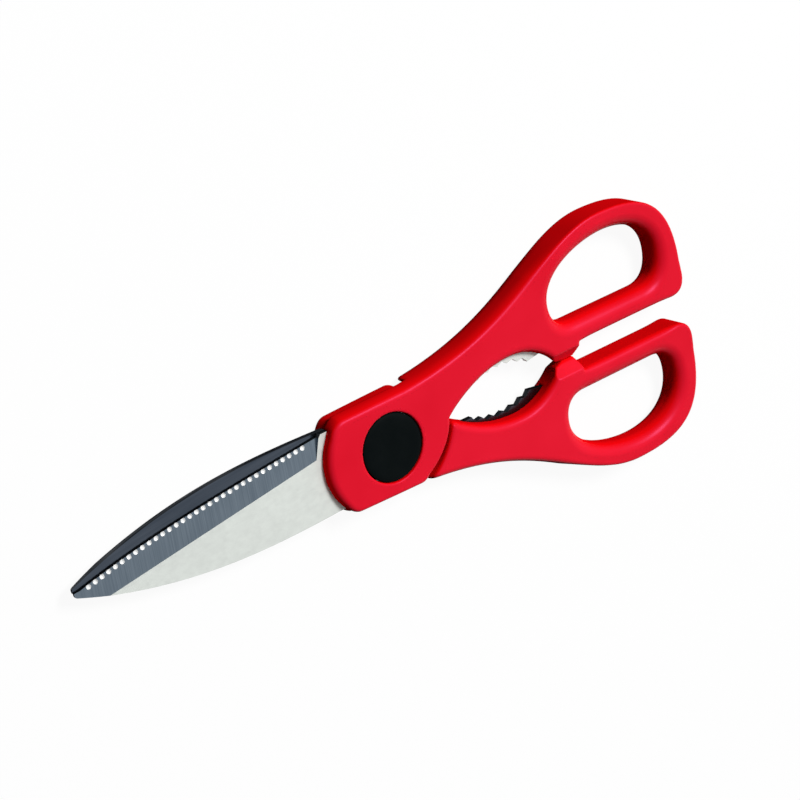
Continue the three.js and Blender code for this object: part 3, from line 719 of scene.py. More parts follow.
@dataclass
class HandleMoulding:
    """Moulded handle: boss over the pivot, neck, jaw wall, stop block and finger loop."""

    plan: Plan
    side: Side
    blank: np.ndarray
    finish: Material
    step: float = 0.34
    lip: float = 1.8
    lip_rear: float = 2.4
    side_lip: float = 1.7
    boss_reach: float = 21.9
    boss_end_radius: float = 18.5
    boss_corner: float = 3.2
    spine_corner: float = 2.0
    boss_rear_corner: float = 1.6
    jaw_near_pull: float = 8.0
    jaw_near_slope: float = 0.64
    jaw_crown: float = 24.914
    jaw_crown_pull: float = 10.0
    jaw_far_pull: float = 1.2
    neck_start: float = 8.0
    neck_rise: float = 0.3
    neck_pull: float = 46.0
    neck_slope: float = 0.075
    bridge: float = 0.9
    hole_length: float = 42.0
    hole_width: float = 21.7
    hole_crown: float = 24.5
    hole_crown_pull: float = 10.0
    hole_near_side: float = 7.3
    hole_near_pull: float = 9.5
    hole_near_corner: float = 7.0
    hole_far_side: float = 8.6
    hole_far_pull: float = 8.5
    hole_far_corner: float = 7.9
    bar_offset: float = 4.4
    bar_width: float = 7.0
    crown_wall: float = 6.7
    end_wall: float = 8.2
    loop_crown: float = 23.0
    loop_near_pull: float = 23.1
    loop_far_pull: float = 15.6
    loop_side: float = 15.0
    loop_side_pull: float = 21.0
    loop_lean: float = 0.3
    loop_corner: float = 6.0
    stop_length: float = 7.0
    stop_gap: float = 0.3
    stop_slope: float = 1.6
    round_outer: float = 0.8
    round_bar: float = 2.2
    round_boss_end: float = 2.2
    round_jaw: float = 2.4
    round_stop: float = 0.5
    stop_facet: Pair = (3.8, 3.2)
    far_lean: Pair = (-0.9, 2.6)
    round_hole: float = 4.2
    round_step: float = 1.2
    round_step_corner: float = 1.4
    round_parting: float = 0.5
    round_seat: float = 0.25
    grip: float = 0.04
    barrel: Pair = (1.2, 0.15)
    barrel_power: float = 3.0
    face_zone: Pair = (0.3, 0.5)
    barrel_ends: Four = (-21.0, -15.0, 92.0, 106.0)
    barrel_rise: Pair = (10.0, 12.5)
    barrel_fall: Pair = (30.0, 37.5)
    spine_fade: Pair = (1.0, 9.0)
    room_beyond: float = 6.0
    room_parts: int = 90
    step_parts: int = 32
    steepest: float = 0.98
    margin_steps: int = 3

    @property
    def boss_top(self) -> float:
        """Long axis to the boss's upper edge."""
        return self.plan.side_offset + self.side_lip

    def outline(self, lean: float) -> PlanPath:
        """Outer outline with the edge rounding of each stretch.

        Args:
            lean: how far the jaw's far wall is moved along the tool.

        Returns:
            The outline.
        """
        plan = self.plan
        bottom = -(plan.spine_offset + self.lip)
        bottom_rear = -(plan.spine_offset + self.lip_rear)
        centre = self.boss_end_radius - self.boss_reach
        top_y, low_y = self.boss_top - self.boss_corner, bottom + self.spine_corner
        top_x, low_x = [centre - math.sqrt(self.boss_end_radius**2 - y * y) for y in (top_y, low_y)]
        top_control = top_x + self.boss_corner * top_y / (centre - top_x)
        low_control = low_x - self.spine_corner * low_y / (centre - low_x)
        rear_turn = plan.step_turn(bottom_rear + self.boss_rear_corner, plan.step_gap_outer)
        rear_x, rear_y = plan.step_point(rear_turn, plan.step_gap_outer, 1)
        rear_run = rear_x - self.boss_rear_corner
        outer = self.round_outer
        path = PlanPath(low_control + self.spine_corner, bottom)
        path.line(rear_run - self.boss_rear_corner, bottom_rear, outer)
        path.corner(rear_run, bottom_rear, rear_x, rear_y, rounding=outer)
        for share in np.linspace(0, 1, self.step_parts + 1)[1:]:
            gap = plan.step_gap_outer + share * (plan.step_gap - plan.step_gap_outer)
            turn = rear_turn + share * (plan.jaw_turn - rear_turn)
            path.line(*plan.step_point(turn, gap, 1), outer)
        near, far, high = plan.jaw_near, plan.jaw_far + lean, plan.jaw_half_height
        stop_y = self.stop_gap / 2
        stop_end = plan.jaw_far + self.stop_length
        crown = near + self.jaw_crown
        hole_near = plan.jaw_far + self.bridge
        loop_crown = hole_near + self.loop_crown
        loop_end = hole_near + self.hole_length + self.end_wall
        loop_top = self.bar_offset + self.bar_width + self.hole_width + self.crown_wall
        rise = self.boss_top + self.neck_rise
        path.bend(
            near + self.jaw_near_pull,
            plan.jaw_near_height + self.jaw_near_pull * self.jaw_near_slope,
            crown - self.jaw_crown_pull, high, crown, high, rounding=self.round_jaw,
        )
        path.bend(
            crown + self.jaw_crown_pull, high, far, stop_y + self.jaw_far_pull, far, stop_y,
            rounding=self.round_jaw,
        )
        path.line(stop_end, stop_y, self.round_stop)
        path.line(stop_end + self.stop_slope, self.bar_offset, self.round_stop)
        path.line(loop_end - self.loop_corner, self.bar_offset, self.round_bar)
        path.corner(
            loop_end, self.bar_offset, loop_end, self.bar_offset + self.loop_corner,
            rounding=outer,
        )
        path.line(loop_end - self.loop_lean, self.loop_side, outer)
        path.bend(
            loop_end - self.loop_lean, self.loop_side + self.loop_side_pull,
            loop_crown + self.loop_far_pull, loop_top, loop_crown, loop_top, rounding=outer,
        )
        path.bend(
            loop_crown - self.loop_near_pull, loop_top,
            self.neck_start + self.neck_pull, rise + self.neck_pull * self.neck_slope,
            self.neck_start, rise, rounding=outer,
        )
        path.line(top_control + self.boss_corner, self.boss_top, outer)
        path.corner(top_control, self.boss_top, top_x, top_y, rounding=outer)
        path.arc(
            (centre, 0.0), self.boss_end_radius,
            math.pi - math.asin(top_y / self.boss_end_radius),
            math.pi - math.asin(low_y / self.boss_end_radius), self.round_boss_end,
        )
        path.corner(low_control, bottom, low_control + self.spine_corner, bottom, rounding=outer)
        return path

    def hole(self) -> PlanPath:
        """Outline of the finger hole."""
        near = self.plan.jaw_far + self.bridge
        far = near + self.hole_length
        low = self.bar_offset + self.bar_width
        high = low + self.hole_width
        crown = near + self.hole_crown
        near_side, far_side = low + self.hole_near_side, low + self.hole_far_side
        path = PlanPath(near + self.hole_near_corner, low)
        path.line(far - self.hole_far_corner, low)
        path.corner(far, low, far, far_side)
        path.bend(
            far, far_side + self.hole_far_pull, crown + self.hole_crown_pull, high, crown, high,
        )
        path.bend(
            crown - self.hole_crown_pull, high,
            near, near_side + self.hole_near_pull, near, near_side,
        )
        path.corner(near, low, near + self.hole_near_corner, low)
        return path

    def room(self) -> PlanPath:
        """Outline of the room under the boss, bounded by this handle's own step."""
        plan = self.plan
        beyond = self.room_beyond
        heights = np.array([plan.spine_offset + self.lip_rear + beyond, -self.boss_top - beyond])
        rises = (heights - plan.step_centre[1]) / plan.step_radius
        turns = np.arcsin(np.clip(rises, -self.steepest, self.steepest))
        ahead = -self.boss_reach - beyond
        start = plan.step_point(turns[0], 0.0, -1)
        path = PlanPath(*start)
        for turn in np.linspace(*turns, self.room_parts)[1:]:
            path.line(*plan.step_point(turn, 0.0, -1))
        path.line(ahead, path.pen[1])
        path.line(ahead, start[1])
        path.line(*start)
        return path

    def field(self) -> tuple[np.ndarray, Lattice]:
        """Distance field of the moulding.

        Returns:
            The field and its lattice.
        """
        plan = self.plan
        faces = [self.outline(lean) for lean in self.far_lean]
        points = faces[0].points()
        margin = self.margin_steps * self.step
        (x0, y0), (x1, y1) = points.min(0) - margin, points.max(0) + margin
        lattice = Lattice((x0, y0, -plan.half - margin), (x1, y1, plan.half + margin), self.step)
        z = lattice.axis(2)[None, None, :]
        (rim_a, round_a), (rim_b, round_b) = [lattice.plan(f.points(), f.blended()) for f in faces]
        share = 0.5 - z / plan.thickness if self.side is Side.FRONT else 0.5 + z / plan.thickness
        rim = rim_a[..., None] + (rim_b - rim_a)[..., None] * share
        rounding = round_a[..., None] + (round_b - round_a)[..., None] * share
        rim = rim - self.bulge(lattice)
        hole, _ = lattice.plan(self.hole().points())
        hole = hole[..., None]
        room, _ = lattice.plan(self.room().points())
        room = room[..., None]
        blank, _ = lattice.plan(self.blank)
        rounding = np.where(-hole > rim, self.round_hole, rounding)
        whole = np.maximum(rim, -hole)
        stepped = round_meet(whole, -room, self.round_step_corner)
        stepped_round = np.where(-room > whole, self.round_step, rounding)
        ceiling = plan.parting_gap / 2
        upper = round_meet(whole, z - plan.half, rounding)
        upper = round_meet(upper, ceiling - z, self.round_parting)
        lower = round_meet(stepped, np.abs(z) - plan.half, stepped_round)
        body = np.minimum(upper, lower)
        body = np.maximum(body, self.facet(lattice))
        middle = (plan.inner + plan.outer) / 2
        sheet = np.abs(z - middle) - plan.blade_thickness / 2
        slot = np.maximum(blank[..., None], sheet) + self.grip
        body = np.maximum(body, -slot)
        x, y = np.meshgrid(lattice.axis(0), lattice.axis(1), indexing="ij")
        seat = np.hypot(x, y) - plan.cap_diameter / 2 - plan.cap_clearance
        seat = np.maximum(seat[..., None], -z)
        return round_meet(body, -seat, self.round_seat), lattice

    def bulge(self, lattice: Lattice) -> np.ndarray:
        """How far the outer sides stand out like a barrel, most at the parting plane.

        Args:
            lattice: where the field lies.

        Returns:
            The distance at each place.
        """
        x, y, z = lattice.axes()
        rise = np.interp(np.abs(y), self.barrel_rise, (0.0, 1.0))
        rise = rise * np.interp(x, self.barrel_ends, (0.0, 1.0, 1.0, 0.0))
        fall = np.interp(y, self.barrel_fall, (1.0, 0.0))
        fade = np.interp(x, self.spine_fade, (1.0, 0.0))
        upper, spine = self.barrel
        reach = np.where(y > 0, upper * fall, spine * fade)
        return reach * rise * (1 - np.minimum(np.abs(z) / self.plan.half, 1.0) ** self.barrel_power)

    def facet(self, lattice: Lattice) -> np.ndarray:
        """Field that slopes both edges of the stop block off.

        Args:
            lattice: where the field lies.

        Returns:
            The field, negative where material stays.
        """
        plan = self.plan
        wide, deep = self.stop_facet
        x, y, z = lattice.axes()
        slope = 1 - (y - self.stop_gap / 2) / wide - (plan.half - np.abs(z)) / deep
        before = plan.jaw_near + self.jaw_crown - x
        return np.minimum(slope / math.hypot(1 / wide, 1 / deep), -before)

    def build(self) -> Object:
        """Builds, places and dresses the handle.

        Returns:
            The finished piece.
        """
        values, lattice = self.field()
        points, quads = net_mesh(values, lattice)
        made = make_object(f"{self.side.value}_grip", points, quads)
        made.data.transform(half_turn(self.side, self.plan.half))
        made.data.shade_smooth()
        made.data.materials.append(self.finish)
        self.mark(made.data)
        return made

    def mark(self, mesh: bpy.types.Mesh) -> None:
        """Stores how level the surface lies near each face; the finish reads it to paint the faces'
        pinker sheen colour and raise their specular.
        """
        places, normals = np.empty((2, 3 * len(mesh.vertices)), dtype=np.float32)
        mesh.vertices.foreach_get("co", places)
        mesh.vertex_normals.foreach_get("vector", normals)
        height = np.abs(places[2::3] / MM / self.plan.half - 1)
        level = np.abs(normals[2::3]) * np.interp(height, self.face_zone, (0.0, 1.0))
        stored = mesh.attributes.new(LEVEL, "FLOAT", "POINT")
        stored.data.foreach_set("value", level.astype(np.float32))


def notch_tree() -> bpy.types.NodeTree:
    """Geometry tree that cuts a row of notches along a path, one tool at each even place.

    Returns:
        The tree, with the blank, path, tool, count and finish as named inputs.
    """
    tree = bpy.data.node_groups.new("notch_row", "GeometryNodeTree")
    for name, kind in (("Blank", "Geometry"), ("Path", "Object"), ("Tool", "Object"),
                       ("Notches", "Int"), ("Finish", "Material")):
        tree.interface.new_socket(name, in_out="INPUT", socket_type=f"NodeSocket{kind}")
    tree.interface.new_socket("Cut blank", in_out="OUTPUT", socket_type="NodeSocketGeometry")
    add = NodeBench(tree).add
    given = add("NodeGroupInput").outputs
    path = add("GeometryNodeObjectInfo", Object=given["Path"]).outputs["Geometry"]
    tool = add("GeometryNodeObjectInfo", Object=given["Tool"]).outputs["Geometry"]
    curve = add("GeometryNodeMeshToCurve", Mesh=path).outputs[0]
    spaced = add("GeometryNodeResampleCurve", Curve=curve, Count=given["Notches"]).outputs[0]
    along = add("GeometryNodeInputTangent").outputs[0]
    turned = add("FunctionNodeAlignRotationToVector", {"axis": "X", "pivot_axis": "Z"},
                 Vector=along).outputs[0]
    tools = add("GeometryNodeInstanceOnPoints", Points=spaced, Instance=tool, Rotation=turned)
    solid = add("GeometryNodeRealizeInstances", Geometry=tools.outputs[0]).outputs[0]
    marked = add("GeometryNodeStoreNamedAttribute", {"data_type": "BOOLEAN", "domain": "FACE"},
                 Geometry=solid, Name=NOTCH, Value=True).outputs[0]
    cut = add("GeometryNodeMeshBoolean", {"operation": "DIFFERENCE", "solver": "MANIFOLD"},
              Mesh_1=given["Blank"], Mesh_2=marked).outputs["Mesh"]
    plain = add("GeometryNodeRealizeInstances", Geometry=cut).outputs[0]
    chosen = add("GeometryNodeInputNamedAttribute", {"data_type": "BOOLEAN"}, Name=NOTCH)
    finish = add("GeometryNodeSetMaterial", Geometry=plain, Material=given["Finish"],
                 Selection=chosen.outputs["Attribute"])
    add("NodeGroupOutput", Cut_blank=finish.outputs[0])
    return tree


def lathe(name: str, profile: list[Pair], parts: int) -> Object:
    """Closed body of revolution about the pivot axis.

    Args:
        name: object name.
        profile: radius and height pairs, starting and ending on the axis.
        parts: steps round the axis.

    Returns:
        The object, facing outwards.
    """
    turns = np.linspace(0, 2 * math.pi, parts, endpoint=False)
    points = [(0.0, 0.0, profile[0][1])]
    points += [(r * math.cos(t), r * math.sin(t), z) for r, z in profile[1:-1] for t in turns]
    points.append((0.0, 0.0, profile[-1][1]))
    last = len(points) - 1
    faces: list[list[int]] = []
    rows = len(profile) - 2
    for k in range(parts):
        n = (k + 1) % parts
        faces.append([0, 1 + n, 1 + k])
        for row in range(rows - 1):
            low, high = 1 + row * parts, 1 + (row + 1) * parts
            faces.append([low + k, low + n, high + n, high + k])
        faces.append([last, last - parts + k, last - parts + n])
    return make_object(name, np.array(points), faces)


@dataclass
class SteelBlade:
    """Steel blank with a ground bevel, a toothed jaw and a tang, its edge plain or serrated."""

    plan: Plan
    side: Side
    finishes: dict[str, Material]
    tree: bpy.types.NodeTree
    spine_root: float = 17.0
    spine_root_pull: float = 32.0
    spine_belly: float = 1.6
    spine_tip_pull: float = 28.4
    spine_slope: float = 0.36
    edge_drop: float = 0.9
    edge_drop_length: float = 0.8
    edge_root: float = 21.0
    edge_root_slope: float = 0.1
    edge_slope: float = 0.25
    edge_pull: float = 25.0
    tip_blunt: float = 1.9
    tip_below: float = 1.8
    tip_above: float = 0.2
    tip_corner: float = 0.5
    bevel_width: float = 5.5
    bevel_tip_back: float = 9.6
    bevel_tip_below: float = 4.2
    bevel_lean: float = 2.2
    bevel_overrun: float = 0.4
    bevel_beyond: float = 4.0
    edge_land: float = 0.7
    spine_rim: float = 15.0
    notch_start: float = 26.0
    notch_count: int = 33
    notch_pitch: float = 2.26
    scoop_radius: float = 1.0
    scoop_depth: float = 0.32
    scoop_back: float = 0.4
    tooth_count: int = 7
    tooth_pitch: float = 3.7
    tooth_depth: float = 1.0
    tooth_proud: float = 2.0
    tooth_arc: float = 24.0
    tooth_middle: float = 21.014
    tooth_width: float = 0.97
    tooth_drop: float = 0.3
    land_rise: float = 1.2
    tang_inner: float = 4.3
    tang_root: float = 6.0
    tang_shoulder: float = 14.0
    tang_height: float = 14.0
    tang_end_drop: float = 2.0
    tang_end_margin: float = 2.5
    tang_corner: float = 2.0
    screw_hole: float = 3.3
    overrun: float = 1.0
    sharp: float = 9.0
    flat_above: float = 0.8
    level_above: float = 0.995
    spine_below: float = -0.6
    edge_parts: int = 60
    row_parts: int = 400
    jaw_parts: int = 80
    ring_parts: int = 48
    tip_parts: int = 61
    scoop_parts: tuple[int, int] = (10, 20)

    @property
    def edge_offset(self) -> float:
        """Long axis to the cutting edge at its root."""
        return self.plan.side_offset - self.edge_drop

    def tooth_point(self, pitches: float, depth: float) -> Pair:
        """Tooth tip or root on the jaw's arc.

        Args:
            pitches: pitches from the middle tooth.
            depth: 0 at a tip.

        Returns:
            x and y.
        """
        turn = pitches * self.tooth_pitch / self.tooth_arc
        radius = self.tooth_arc + depth
        centre = self.plan.jaw_half_height - self.tooth_proud - self.tooth_arc
        return (self.plan.jaw_near + self.tooth_middle + radius * math.sin(turn),
                centre + radius * math.cos(turn))

    def edge_controls(self) -> list[Pair]:
        """Control points of the cutting edge, from its root to the tip."""
        tip = -self.plan.blade_reach + self.tip_blunt
        high = self.edge_offset
        return [
            (-self.edge_root, high),
            (-self.edge_root - self.edge_pull, high - self.edge_pull * self.edge_root_slope),
            (tip + self.edge_pull, self.tip_above + self.edge_pull * self.edge_slope),
            (tip, self.tip_above),
        ]

    def edge(self, parts: int) -> np.ndarray:
        """Points along the cutting edge, the tip included."""
        controls = self.edge_controls()
        return np.vstack([bezier(controls, parts), [controls[-1]]])

    def outline(self) -> np.ndarray:
        """Outline of the blank, its jaw along the tooth tips."""
        plan = self.plan
        tip = -plan.blade_reach + self.tip_blunt
        spine = plan.spine_offset
        reach = (self.tooth_count - 1) / 2
        tang_end = plan.jaw_far - self.tang_end_margin
        tang_top = self.tang_height - self.tang_end_drop
        path = PlanPath(tip, -self.tip_below)
        path.bend(
            tip + self.spine_tip_pull, -self.tip_below - self.spine_tip_pull * self.spine_slope,
            -self.spine_root - self.spine_root_pull, -spine - self.spine_belly,
            -self.spine_root, -spine,
        )
        path.line(0.0, -spine)
        path.arc((0.0, 0.0), spine, -math.pi / 2, math.asin(self.tang_inner / spine))
        path.line(*self.tooth_point(-reach - 0.5, self.tooth_depth))
        for turn in np.linspace(-reach, reach, self.tip_parts):
            path.line(*self.tooth_point(turn, 0.0))
        path.line(tang_end, path.pen[1] + self.land_rise)
        path.line(tang_end, tang_top - self.tang_corner)
        path.corner(tang_end, tang_top, tang_end - self.tang_corner, tang_top)
        path.line(plan.jaw_near + self.tang_shoulder, self.tang_height)
        path.line(self.tang_root, plan.side_offset)
        path.line(-self.edge_root + self.edge_drop_length, plan.side_offset)
        path.line(-self.edge_root, self.edge_offset)
        path.bend(*[n for point in self.edge_controls()[1:] for n in point])
        path.corner(-plan.blade_reach, self.tip_above / 2, -plan.blade_reach, 0.0)
        nose = -self.tip_below + self.tip_blunt * self.spine_slope
        path.line(-plan.blade_reach, nose + self.tip_corner)
        path.corner(
            -plan.blade_reach, nose,
            -plan.blade_reach + self.tip_corner, nose - self.tip_corner * self.spine_slope,
        )
        path.line(tip, -self.tip_below)
        return path.points()

    def bevel_tool(self) -> Object:
        """Solid that grinds the bevel: a ruled face from the bevel line to the cutting edge."""
        beyond = self.bevel_beyond
        edge = self.edge(self.edge_parts)
        tip = edge[-1]
        edge = np.vstack([edge, [tip[0] - beyond, tip[1] - beyond * self.edge_slope]])
        root_y = self.edge_offset - self.bevel_width
        run = self.plan.blade_reach - self.bevel_tip_back - self.edge_root
        slope = (root_y + self.bevel_tip_below) / run
        along = edge[:, 0] - self.bevel_lean
        line = np.column_stack([along, root_y + (along + self.edge_root) * slope])
        far = self.edge_offset + beyond
        corner = edge[0, 0] + self.bevel_lean * (far - edge[0, 1]) / (edge[0, 1] - line[0, 1])
        rings = []
        for share in (-self.bevel_overrun, 1 + self.bevel_overrun):
            ruled = edge + (line - edge) * share
            rise = (self.plan.blade_thickness - self.edge_land) * share
            ring = np.vstack([ruled, [(ruled[-1, 0], far), (corner, far)]])[::-1]
            height = np.full(len(ring), self.plan.inner + self.edge_land + rise)
            rings.append(np.column_stack([ring, height]))
        return ring_solid("bevel_tool", *rings)

    def cut_row(self, blade: Object, path: np.ndarray, tool: Object, count: int,
                finish: Material) -> None:
        """Cuts a row of notches into the blade.

        Args:
            blade: the piece to cut.
            path: places that the row follows, in millimetres.
            tool: shape of one notch, drawn about the path.
            count: how many notches.
            finish: material of their faces.
        """
        mesh = bpy.data.meshes.new("notch_path")
        mesh.from_pydata((path * MM).tolist(), [(k, k + 1) for k in range(len(path) - 1)], [])
        guide = bpy.data.objects.new("notch_path", mesh)
        bpy.context.scene.collection.objects.link(guide)
        row = blade.modifiers.new("notches", "NODES")
        row.node_group = self.tree
        given = {"Path": guide, "Tool": tool, "Notches": count, "Finish": finish}
        for item in self.tree.interface.items_tree:
            if item.name in given:
                row[item.identifier] = given[item.name]
        bake(blade)
        discard(guide, tool)

    def scoop_tool(self) -> Object:
        """Round-nosed tool of one serration notch, long across the edge."""
        rows, parts = self.scoop_parts
        size = self.scoop_radius
        turns = np.linspace(0, math.pi, rows)
        profile = [(size * math.sin(a), size * -math.cos(a)) for a in turns]
        tool = lathe("scoop_tool", profile, parts)
        tool.data.shade_smooth()
        lift = self.edge_land + size - self.scoop_depth
        tilt = (self.plan.blade_thickness - self.edge_land) / self.bevel_width
        lift += self.scoop_back * tilt
        centre = Vector((0, self.scoop_back, self.plan.inner + lift))
        tool.data.transform(Matrix.Translation(centre * MM))
        return tool

    def tooth_tool(self) -> Object:
        """Prism of the gap between two jaw teeth."""
        wide, drop = self.tooth_pitch * self.tooth_width / 2, self.tooth_drop
        outline = np.array([(-wide, -drop), (wide, -drop), (wide, 0), (0, self.tooth_depth),
                            (-wide, 0)])
        return prism("tooth_tool", outline, -self.overrun, self.plan.outer + self.overrun)

    def build(self) -> Object:
        """Builds, places and dresses the blade.

        Returns:
            The finished piece.
        """
        plan = self.plan
        blade = prism(f"{self.side.value}_steel", self.outline(), plan.inner, plan.outer)
        turns = np.linspace(0, 2 * math.pi, self.ring_parts, endpoint=False)
        ring = np.column_stack([np.cos(turns), np.sin(turns)]) * self.screw_hole
        screw = prism("screw_tool", ring, -self.overrun, plan.outer + self.overrun)
        tools = [self.bevel_tool(), screw]
        tools[0].data.materials.append(self.finishes["bevel"])
        blade.data.materials.append(self.finishes["edge"])
        for tool in tools:
            cut = blade.modifiers.new(tool.name, "BOOLEAN")
            cut.operation = "DIFFERENCE"
            cut.solver = "MANIFOLD"
            cut.material_mode = "TRANSFER"
            cut.object = tool
        bake(blade)
        discard(*tools)
        reach = (self.tooth_count - 2) / 2
        middle = np.linspace(-reach, reach, self.jaw_parts)
        arc = np.array([(*self.tooth_point(t, 0.0), 0.0) for t in middle])
        self.cut_row(blade, arc, self.tooth_tool(), self.tooth_count - 1, self.finishes["edge"])
        if self.side is Side.FRONT:
            edge = self.edge(self.row_parts)
            place = np.concatenate([[0], np.cumsum(np.hypot(*np.diff(edge, axis=0).T))])
            first = self.notch_start - self.edge_root
            last = first + (self.notch_count - 1) * self.notch_pitch
            keep = (place >= first) & (place <= last)
            path = np.column_stack([edge[keep], np.zeros(keep.sum())])
            self.cut_row(blade, path, self.scoop_tool(), self.notch_count, self.finishes["scoop"])
        self.dress(blade)
        blade.data.transform(half_turn(self.side, plan.half))
        return blade

    def dress(self, blade: Object) -> None:
        """Gives each face of the drawn blade its finish and marks the sharp edges."""
        mesh = blade.data
        order = list(self.finishes)
        cut = {k: key for k, m in enumerate(mesh.materials)
               for key in ("bevel", "scoop") if m is self.finishes[key]}
        keys = []
        for facet in mesh.polygons:
            up = facet.normal.z
            key = "bevel"
            # Upright sides take the near-black painted-shade steels: the spine toward the tip the
            # rim one, the rest the edge one.
            if abs(up) <= self.flat_above:
                spine = facet.normal.y < self.spine_below
                key = "rim" if spine and facet.center.x < -self.spine_rim * MM else "edge"
            elif up < 0:
                key = "inner"
            elif up > self.level_above:
                key = "outer"
            key = cut.get(facet.material_index, key)
            facet.use_smooth = key not in ("inner", "outer")
            keys.append(order.index(key))
        mesh.materials.clear()
        for key in order:
            mesh.materials.append(self.finishes[key])
        mesh.polygons.foreach_set("material_index", keys)
        mesh.set_sharp_from_angle(angle=math.radians(self.sharp))


@dataclass
class PivotCap:
    """Snap-in cover over the pivot: a shallow crown flush with the handle's face."""

    plan: Plan
    side: Side
    finish: Material
    wall: float = 1.2
    rim: float = 0.6
    rim_width: float = 2.0
    roof: float = 4.25
    seat: float = 0.05
    parts: int = 128
    crown_parts: int = 10
    sharp: float = 40.0

    def build(self) -> Object:
        """Builds, places and dresses the cap.

        Returns:
            The finished piece.
        """
        radius = self.plan.cap_diameter / 2
        half, foot = self.plan.half, self.plan.outer + self.seat
        turns = np.linspace(0, math.pi / 2, self.crown_parts)
        crown = [(radius - self.rim_width * (1 - math.cos(t)), half - self.rim * (1 - math.sin(t)))
                 for t in turns]
        inner = radius - self.wall
        profile = [(0.0, self.roof), (inner, self.roof), (inner, foot), (radius, foot),
                   *crown, (0.0, half)]
        made = lathe(f"{self.side.value}_cover", profile, self.parts)
        made.data.transform(half_turn(self.side, half))
        made.data.shade_smooth()
        made.data.set_sharp_from_angle(angle=math.radians(self.sharp))
        made.data.materials.append(self.finish)
        return made


@dataclass
class FastenerSet:
    """Screw, nut and washers under the caps, shown as the frame has them."""

    finish: Material
    nodes: tuple[str, ...] = ("pivot_screw", "pivot_nut", "head_washer", "spring_washer")

    def dress(self) -> None:
        """Gives each fastener its plated finish."""
        for name in self.nodes:
            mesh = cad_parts[name].data
            mesh.materials.clear()
            mesh.materials.append(self.finish)
            LOG.info("fastener %s dressed", name)


@dataclass(frozen=True)
class Lamp:
    """Round soft lamp aimed at the pivot, its place and size in metres."""

    name: str
    place: Triple
    size: float
    power: float
    mirrored: bool

    def hang(self) -> None:
        """Hangs the lamp and says whether polished metal shows it."""
        data = bpy.data.lights.new(self.name, "AREA")
        data.shape = "DISK"
        data.size = self.size
        data.energy = self.power
        made = bpy.data.objects.new(self.name, data)
        made.location = self.place
        made.rotation_mode = "QUATERNION"
        made.rotation_quaternion = (-Vector(self.place)).to_track_quat("-Z", "Y")
        made.visible_glossy = self.mirrored
        bpy.context.scene.collection.objects.link(made)


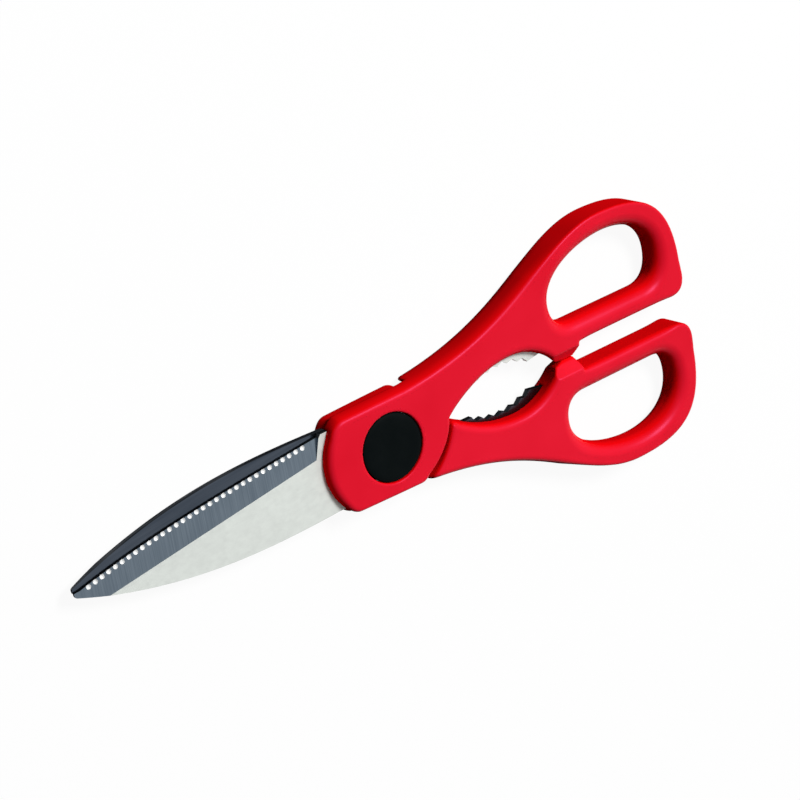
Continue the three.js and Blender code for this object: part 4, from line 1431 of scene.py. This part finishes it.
@dataclass
class Studio:
    """Camera, pale floor, soft lamps and the plain room round them."""

    lens: float = 102.0752
    sensor: float = 36.0
    clip: Pair = (0.01, 20.0)
    eye: Triple = (-0.305075, 0.2461066, 0.5103577)
    right: Triple = (0.787843, -0.199890, 0.582535)
    up: Triple = (0.372673, 0.907771, -0.192527)
    back: Triple = (-0.490324, 0.368776, 0.789675)
    floor_size: float = 6.0
    floor_drop: float = 0.00002
    floor_grey: float = 0.9
    room: float = 0.03
    bounce: float = 0.06
    whiteness: float = 0.94
    lamps: tuple[Lamp, ...] = (
        Lamp("key", (0.80, 1.07, 1.79), 0.8, 57.5, True),
        Lamp("panel", (0.60, -0.14, 0.82), 1.1, 0.9, False),
    )

    def camera(self) -> None:
        """Sets the camera where the photograph was taken from."""
        data = bpy.data.cameras.new("camera")
        data.lens = self.lens
        data.sensor_width = self.sensor
        data.clip_start, data.clip_end = self.clip
        made = bpy.data.objects.new("camera", data)
        axes = Matrix([self.right, self.up, self.back]).transposed().to_4x4()
        made.matrix_world = Matrix.Translation(self.eye) @ axes
        bpy.context.scene.collection.objects.link(made)
        bpy.context.scene.camera = made

    def floor(self) -> None:
        """Lays a pale floor that stays white to the camera and keeps the shadow."""
        half = self.floor_size / 2 / MM
        corners = np.array([(-half, -half, 0), (half, -half, 0), (half, half, 0), (-half, half, 0)])
        made = make_object("floor", corners, [[0, 1, 2, 3]])
        made.location.z = -self.floor_drop
        shade = Shade("pale_floor")
        matt, dim = [shade.add("ShaderNodeBsdfDiffuse", Color=(grey, grey, grey, 1.0)).outputs[0]
                     for grey in (self.floor_grey, self.bounce)]
        glow = shade.add("ShaderNodeEmission", Color=WHITE, Strength=1.0).outputs[0]
        white = shade.mix(self.whiteness, matt, glow)
        made.data.materials.append(shade.close(shade.mix(shade.plain_rays(), dim, white)))

    def light(self) -> None:
        """Hangs the lamps in a room that lights dimly and looks white straight or mirrored."""
        for lamp in self.lamps:
            lamp.hang()
        world = bpy.data.worlds.new("room")
        world.use_nodes = True
        bench = NodeBench(world.node_tree)
        bench.tree.nodes.clear()
        grey, white = [bench.add("ShaderNodeBackground", Color=colour).outputs[0]
                       for colour in ((self.room,) * 3 + (1.0,), WHITE)]
        seen = bench.mix(bench.plain_rays(), grey, white)
        bench.add("ShaderNodeOutputWorld", Surface=seen)
        bpy.context.scene.world = world

    def build(self) -> None:
        """Sets the whole stage."""
        self.camera()
        self.floor()
        self.light()
        bpy.context.scene.view_settings.view_transform = "Standard"


def carry(made: Object, side: Side, node: str) -> None:
    """Hands a finished piece to its body in place of a CAD node.

    Args:
        made: the piece.
        side: half that carries it.
        node: CAD node that it stands for.
    """
    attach(made, side.body)
    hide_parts(node)
    LOG.info("%s stands for %s, %d faces", made.name, node, len(made.data.polygons))


def main() -> None:
    """Builds the stage and every piece, in order."""
    logging.basicConfig(level=logging.INFO, format="%(name)s: %(message)s")
    Studio().build()
    plan = Plan()
    steel = {
        "outer": SATIN_STEEL.material(),
        "bevel": BEVEL_REFLECTION_STEEL.material(),
        "inner": INNER_REFLECTION_STEEL.material(),
        "edge": EDGE_SHADE_STEEL.material(),
        "scoop": SCOOP_GLINT_STEEL.material(),
        "rim": RIM_SHADE_STEEL.material(),
    }
    moulding, cover = MouldedPlastic().material(), CapPlastic().material()
    tree = notch_tree()
    for side in Side:
        blade = SteelBlade(plan, side, steel, tree)
        carry(blade.build(), side, f"{side.value}_blade")
        handle = HandleMoulding(plan, side, blade.outline(), moulding)
        carry(handle.build(), side, f"{side.value}_handle")
        carry(PivotCap(plan, side, cover).build(), side, f"{side.value}_cap")
    FastenerSet(ZINC_STEEL.material()).dress()


if __name__ == "__main__":
    main()
